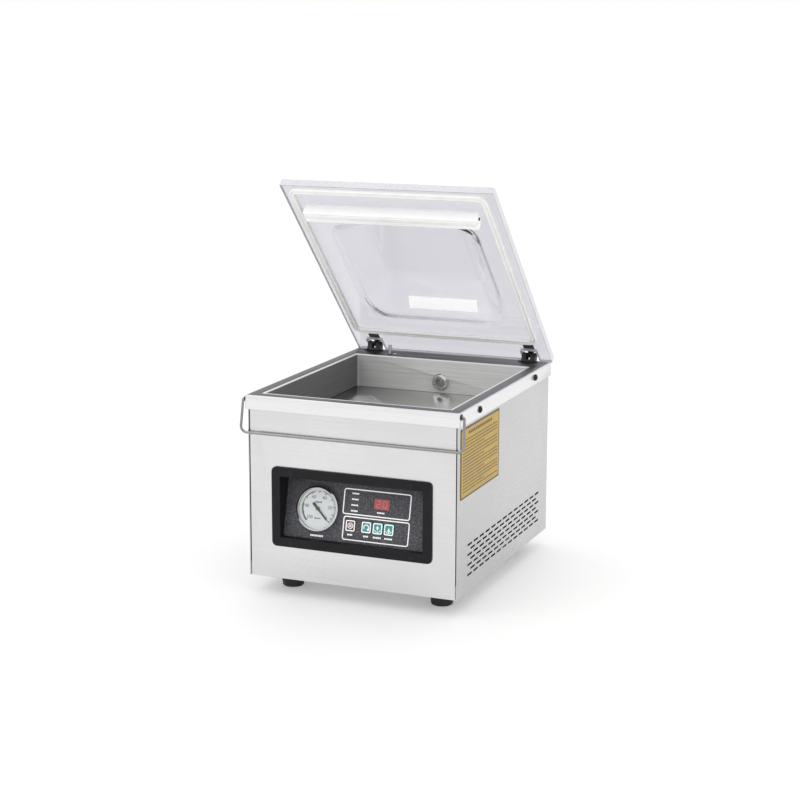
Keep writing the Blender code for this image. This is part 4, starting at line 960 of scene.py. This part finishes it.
def make_panel_prints():
    """White frames round the two fields and the captions, as thin ink on the face."""
    bm = bmesh.new()
    line = 0.0015
    display_field = ((-0.0205, 0.0820), (0.0414, 0.0772))
    key_field = ((-0.0180, 0.0828), (0.0045, 0.0376))
    outline = [(-line / 2, INK_LOW), (line / 2, INK_LOW), (line / 2, PRINT), (-line / 2, PRINT)]
    for x, y in (display_field, key_field):
        sweep(bm, rounded_loop(x, y, 0.0030), outline)
    for i in range(4):
        dashes(bm, (-0.0030, 0.0712 - i * 0.0083), 0.0108, 0.0022, 5, INK_LOW, PRINT)
    under_display = ((DISPLAY_X[0] + DISPLAY_X[1]) / 2, DISPLAY_V[0] - 0.0042)
    dashes(bm, under_display, 0.0120, 0.0022, 5, INK_LOW, PRINT)
    for name, x in KEYS.items():
        wide, count = (0.0080, 4) if name in ("key_stop", "key_set") else (0.0125, 6)
        dashes(bm, (x, KEY_V - 0.0130), wide, 0.0024, count, INK_LOW, PRINT)
    dashes(bm, (GAUGE_X + 0.0005, 0.0050), 0.0205, 0.0026, 9, INK_LOW, PRINT)
    piece("panel_prints", bm, "white_ink", "machine", FACE)


def segment_digit(bm, x, y, width, height, lit, low, high):
    """A seven-segment figure; lit names the segments from a to g."""
    bar = width * 0.17
    mid = y + height / 2
    spans = {
        "a": ((x + bar, x + width - bar), (y + height - bar, y + height)),
        "b": ((x + width - bar, x + width), (mid + bar / 2, y + height - bar)),
        "c": ((x + width - bar, x + width), (y + bar, mid - bar / 2)),
        "d": ((x + bar, x + width - bar), (y, y + bar)),
        "e": ((x, x + bar), (y + bar, mid - bar / 2)),
        "f": ((x, x + bar), (mid + bar / 2, y + height - bar)),
        "g": ((x + bar, x + width - bar), (mid - bar / 2, mid + bar / 2)),
    }
    for segment in lit:
        block(bm, *spans[segment], low, high)


def make_display_figures():
    """The two lit figures, 20, just over the red window."""
    bm = bmesh.new()
    width = 0.0066
    tall = 0.0102
    gap = 0.0016
    middle = (DISPLAY_X[0] + DISPLAY_X[1]) / 2
    foot = DISPLAY_V[0] + 0.0030
    low = DISPLAY_TOP + INK_LOW
    high = DISPLAY_TOP + 0.00018
    segment_digit(bm, middle - gap - width, foot, width, tall, "abged", low, high)
    segment_digit(bm, middle + gap, foot, width, tall, "abcdef", low, high)
    piece("display_figures", bm, "lit_digit", "machine", FACE)


def key_mark(bm, name, low, high):
    """The sign on a key: a cross in a ring, a turned arrow, or an arrow up or down over a tray."""
    if name == "key_stop":
        arc_band(bm, 0.0034, 0.0044, 0, 2 * pi, low, high, 20)
        for turn in (pi / 4, 3 * pi / 4):
            tick(bm, turn, -0.0026, 0.0026, 0.0011, low, high)
        return
    if name == "key_set":
        arc_band(bm, 0.0030, 0.0042, radians(-40), radians(220), low, high, 18)
        prism(bm, [(0.0012, -0.0020), (0.0052, -0.0020), (0.0030, -0.0050)], low, high)
        return
    way = 1 if name == "key_up" else -1
    block(bm, (-0.0008, 0.0008), sorted((way * -0.0022, way * 0.0008)), low, high)
    head = [(-0.0026, way * 0.0006), (0.0026, way * 0.0006), (0.0, way * 0.0040)]
    prism(bm, head if way > 0 else head[::-1], low, high)
    arc_band(bm, 0.0044, 0.0053, radians(205), radians(335), low, high, 12)


def make_key_marks():
    """A white border and a sign on each key."""
    low = KEY_TOP + INK_LOW
    high = KEY_TOP + PRINT
    border = [(-0.0015, low), (0.0, low), (0.0, high), (-0.0015, high)]
    for name, x in KEYS.items():
        body = name.replace("key_", "") + "_button"
        bm = bmesh.new()
        sweep(bm, rounded_loop((-0.0071, 0.0071), (-0.0078, 0.0078), 0.0022), border)
        key_mark(bm, name, low, high)
        piece(f"{name}_mark", bm, "white_ink", body, FACE @ Matrix.Translation((x, KEY_V, 0)))


def dial_angle(share):
    """Where this share of the dial's full scale stands."""
    return DIAL_ZERO + DIAL_SWEEP * share


def make_gauge_marks():
    """Coloured bands, graduations and figures on the dial. Zero is at the lower right."""
    dial = FACE @ Matrix.Translation((GAUGE_X, GAUGE_V, GAUGE_DIAL))
    low, high = INK_LOW, 0.00012
    for colour, start, end in (("green", 0.78, 1.00), ("yellow", 0.70, 0.78), ("red", 0.56, 0.70)):
        bm = bmesh.new()
        inner = BAND_RADIUS - (0.0024 if colour == "green" else 0.0014)
        arc_band(bm, inner, BAND_RADIUS, dial_angle(start), dial_angle(end), low, high, 20)
        piece(f"dial_band_{colour}", bm, f"{colour}_ink", "machine", dial)
    alarms = bmesh.new()
    for share in (0.05, 0.30, 0.42):
        tick(alarms, dial_angle(share), 0.0226, 0.0262, 0.0009, low, high * 1.6)
    piece("dial_marks_red", alarms, "red_ink", "machine", dial)
    marks = bmesh.new()
    arc_band(marks, 0.0261, 0.0267, DIAL_ZERO, dial_angle(0.46), low, high, 24)
    for i in range(51):
        inner, wide = (0.0226, 0.00100) if i % 5 == 0 else (0.0244, 0.00030)
        tick(marks, dial_angle(i / 50), inner, TICK_RADIUS, wide, low, high * 1.3)
    for i in range(6):
        angle = dial_angle(i / 5)
        place = (FIGURE_RADIUS * cos(angle), FIGURE_RADIUS * sin(angle))
        text_shape(marks, str(20 * i), 0.0066, place, low, 0.0001)
    dashes(marks, (0.0, 0.0095), 0.0105, 0.0020, 5, low, high)
    dashes(marks, (0.0, -0.0140), 0.0100, 0.0016, 6, low, high)
    piece("dial_marks", marks, "dark_ink", "machine", dial)


def make_needle():
    """A blade that tapers to its tip, a broad tail and a domed hub."""
    turn = FACE @ Matrix.Translation((GAUGE_X, GAUGE_V, 0)) @ Matrix.Rotation(DIAL_ZERO, 4, "Z")
    low, high = 0.0034, 0.0040
    bm = bmesh.new()
    lower = [(-0.0112, -0.0019), (-0.0080, -0.0023), (0.0, -0.0016), (0.0200, -0.0012), (0.0235, 0.0)]
    upper = [(x, -y) for x, y in lower[-2::-1]]
    prism(bm, lower + upper, low, high)
    needle = piece("gauge_pointer", bm, "dark_ink", "needle", turn)
    hub = bmesh.new()
    dome = [(0, 0.0064), (0.0010, 0.0063), (0.0020, 0.0058), (0.0026, 0.0050), (0.0026, 0.0025), (0, 0.0025)]
    revolve(hub, dome)
    piece("gauge_hub", hub, "black_plastic", "needle", turn, smooth=40)
    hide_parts("gauge_needle")


def make_label_prints():
    """Outline, heading bar and ruled rows of broken marks on the side notice: no words."""
    low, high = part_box("instruction_label")
    frame_of_label = Matrix(((0, 0, 1, high.x), (1, 0, 0, low.y), (0, 1, 0, low.z), (0, 0, 0, 1)))
    wide = high.y - low.y
    tall = high.z - low.z
    bm = bmesh.new()
    edge = [(-0.0022, INK_LOW), (0.0, INK_LOW), (0.0, LABEL_INK), (-0.0022, LABEL_INK)]
    sweep(bm, rounded_loop((0.0004, wide - 0.0004), (0.0004, tall - 0.0004), 0.001, 2), edge)
    dashes(bm, (wide / 2, tall - 0.0095), wide * 0.62, 0.0042, 14, INK_LOW, LABEL_INK)
    left = wide * 0.05
    for row in range(17):
        v = tall - 0.0180 - row * 0.0046
        right = left + wide * (0.90 if row % 4 != 3 else 0.55)
        x = left
        k = row * 7
        while x < right:
            word = 0.0030 + 0.0052 * ((k * 37 % 11) / 10)
            block(bm, (x, min(x + word, right)), (v - 0.0008, v + 0.0008), INK_LOW, LABEL_INK)
            x += word + 0.0013
            k += 1
    piece("label_prints", bm, "label_ink", "machine", frame_of_label)


# ---------------------------------------------------------------- studio


def make_studio():
    """An even pale surround, a pale floor and three soft lamps."""
    world = bpy.data.worlds.new("studio")
    bpy.context.scene.world = world
    world.use_nodes = True
    background = world.node_tree.nodes["Background"]
    background.inputs["Color"].default_value = (1.0, 1.0, 1.0, 1.0)
    background.inputs["Strength"].default_value = 1.0
    mesh = bpy.data.meshes.new("floor")
    bm = bmesh.new()
    bmesh.ops.create_circle(bm, cap_ends=True, segments=64, radius=40)
    bm.to_mesh(mesh)
    bm.free()
    mesh.materials.append(pale_floor("floor_pale"))
    floor = bpy.data.objects.new("floor", mesh)
    bpy.context.scene.collection.objects.link(floor)
    lamps = (
        ("key", (-1.7, -2.3, 2.6), 1.8, 8),
        ("fill", (2.6, -1.3, 1.5), 1.8, 3),
        ("top", (0.2, 0.5, 3.2), 2.4, 8),
    )
    for name, place, size, power in lamps:
        lamp = bpy.data.lights.new(name, "AREA")
        lamp.shape = "DISK"
        lamp.size = size
        lamp.energy = power
        holder = bpy.data.objects.new(name, lamp)
        holder.location = place
        aim = Vector((0, 0, 0.25)) - Vector(place)
        holder.rotation_euler = aim.to_track_quat("-Z", "Y").to_euler()
        bpy.context.scene.collection.objects.link(holder)
    bpy.context.scene.view_settings.view_transform = "Standard"
    bpy.context.scene.cycles.glossy_bounces = 12


def make_camera():
    """Seen from the front right, looking down from above the open lid."""
    camera = bpy.data.cameras.new("camera")
    camera.sensor_width = 36.0
    camera.lens = CAMERA_LENS
    camera.shift_x = CAMERA_SHIFT
    holder = bpy.data.objects.new("camera", camera)
    holder.location = CAMERA_PLACE
    holder.rotation_euler = (radians(90 - CAMERA_DOWN), 0.0, radians(CAMERA_TURN))
    bpy.context.scene.collection.objects.link(holder)
    bpy.context.scene.camera = holder


make_camera()
make_studio()
dress_cad_nodes()
make_lid_shell()
make_gasket()
make_screws()
make_bracket_liners()
make_panel_prints()
make_display_figures()
make_key_marks()
make_gauge_marks()
make_needle()
make_label_prints()
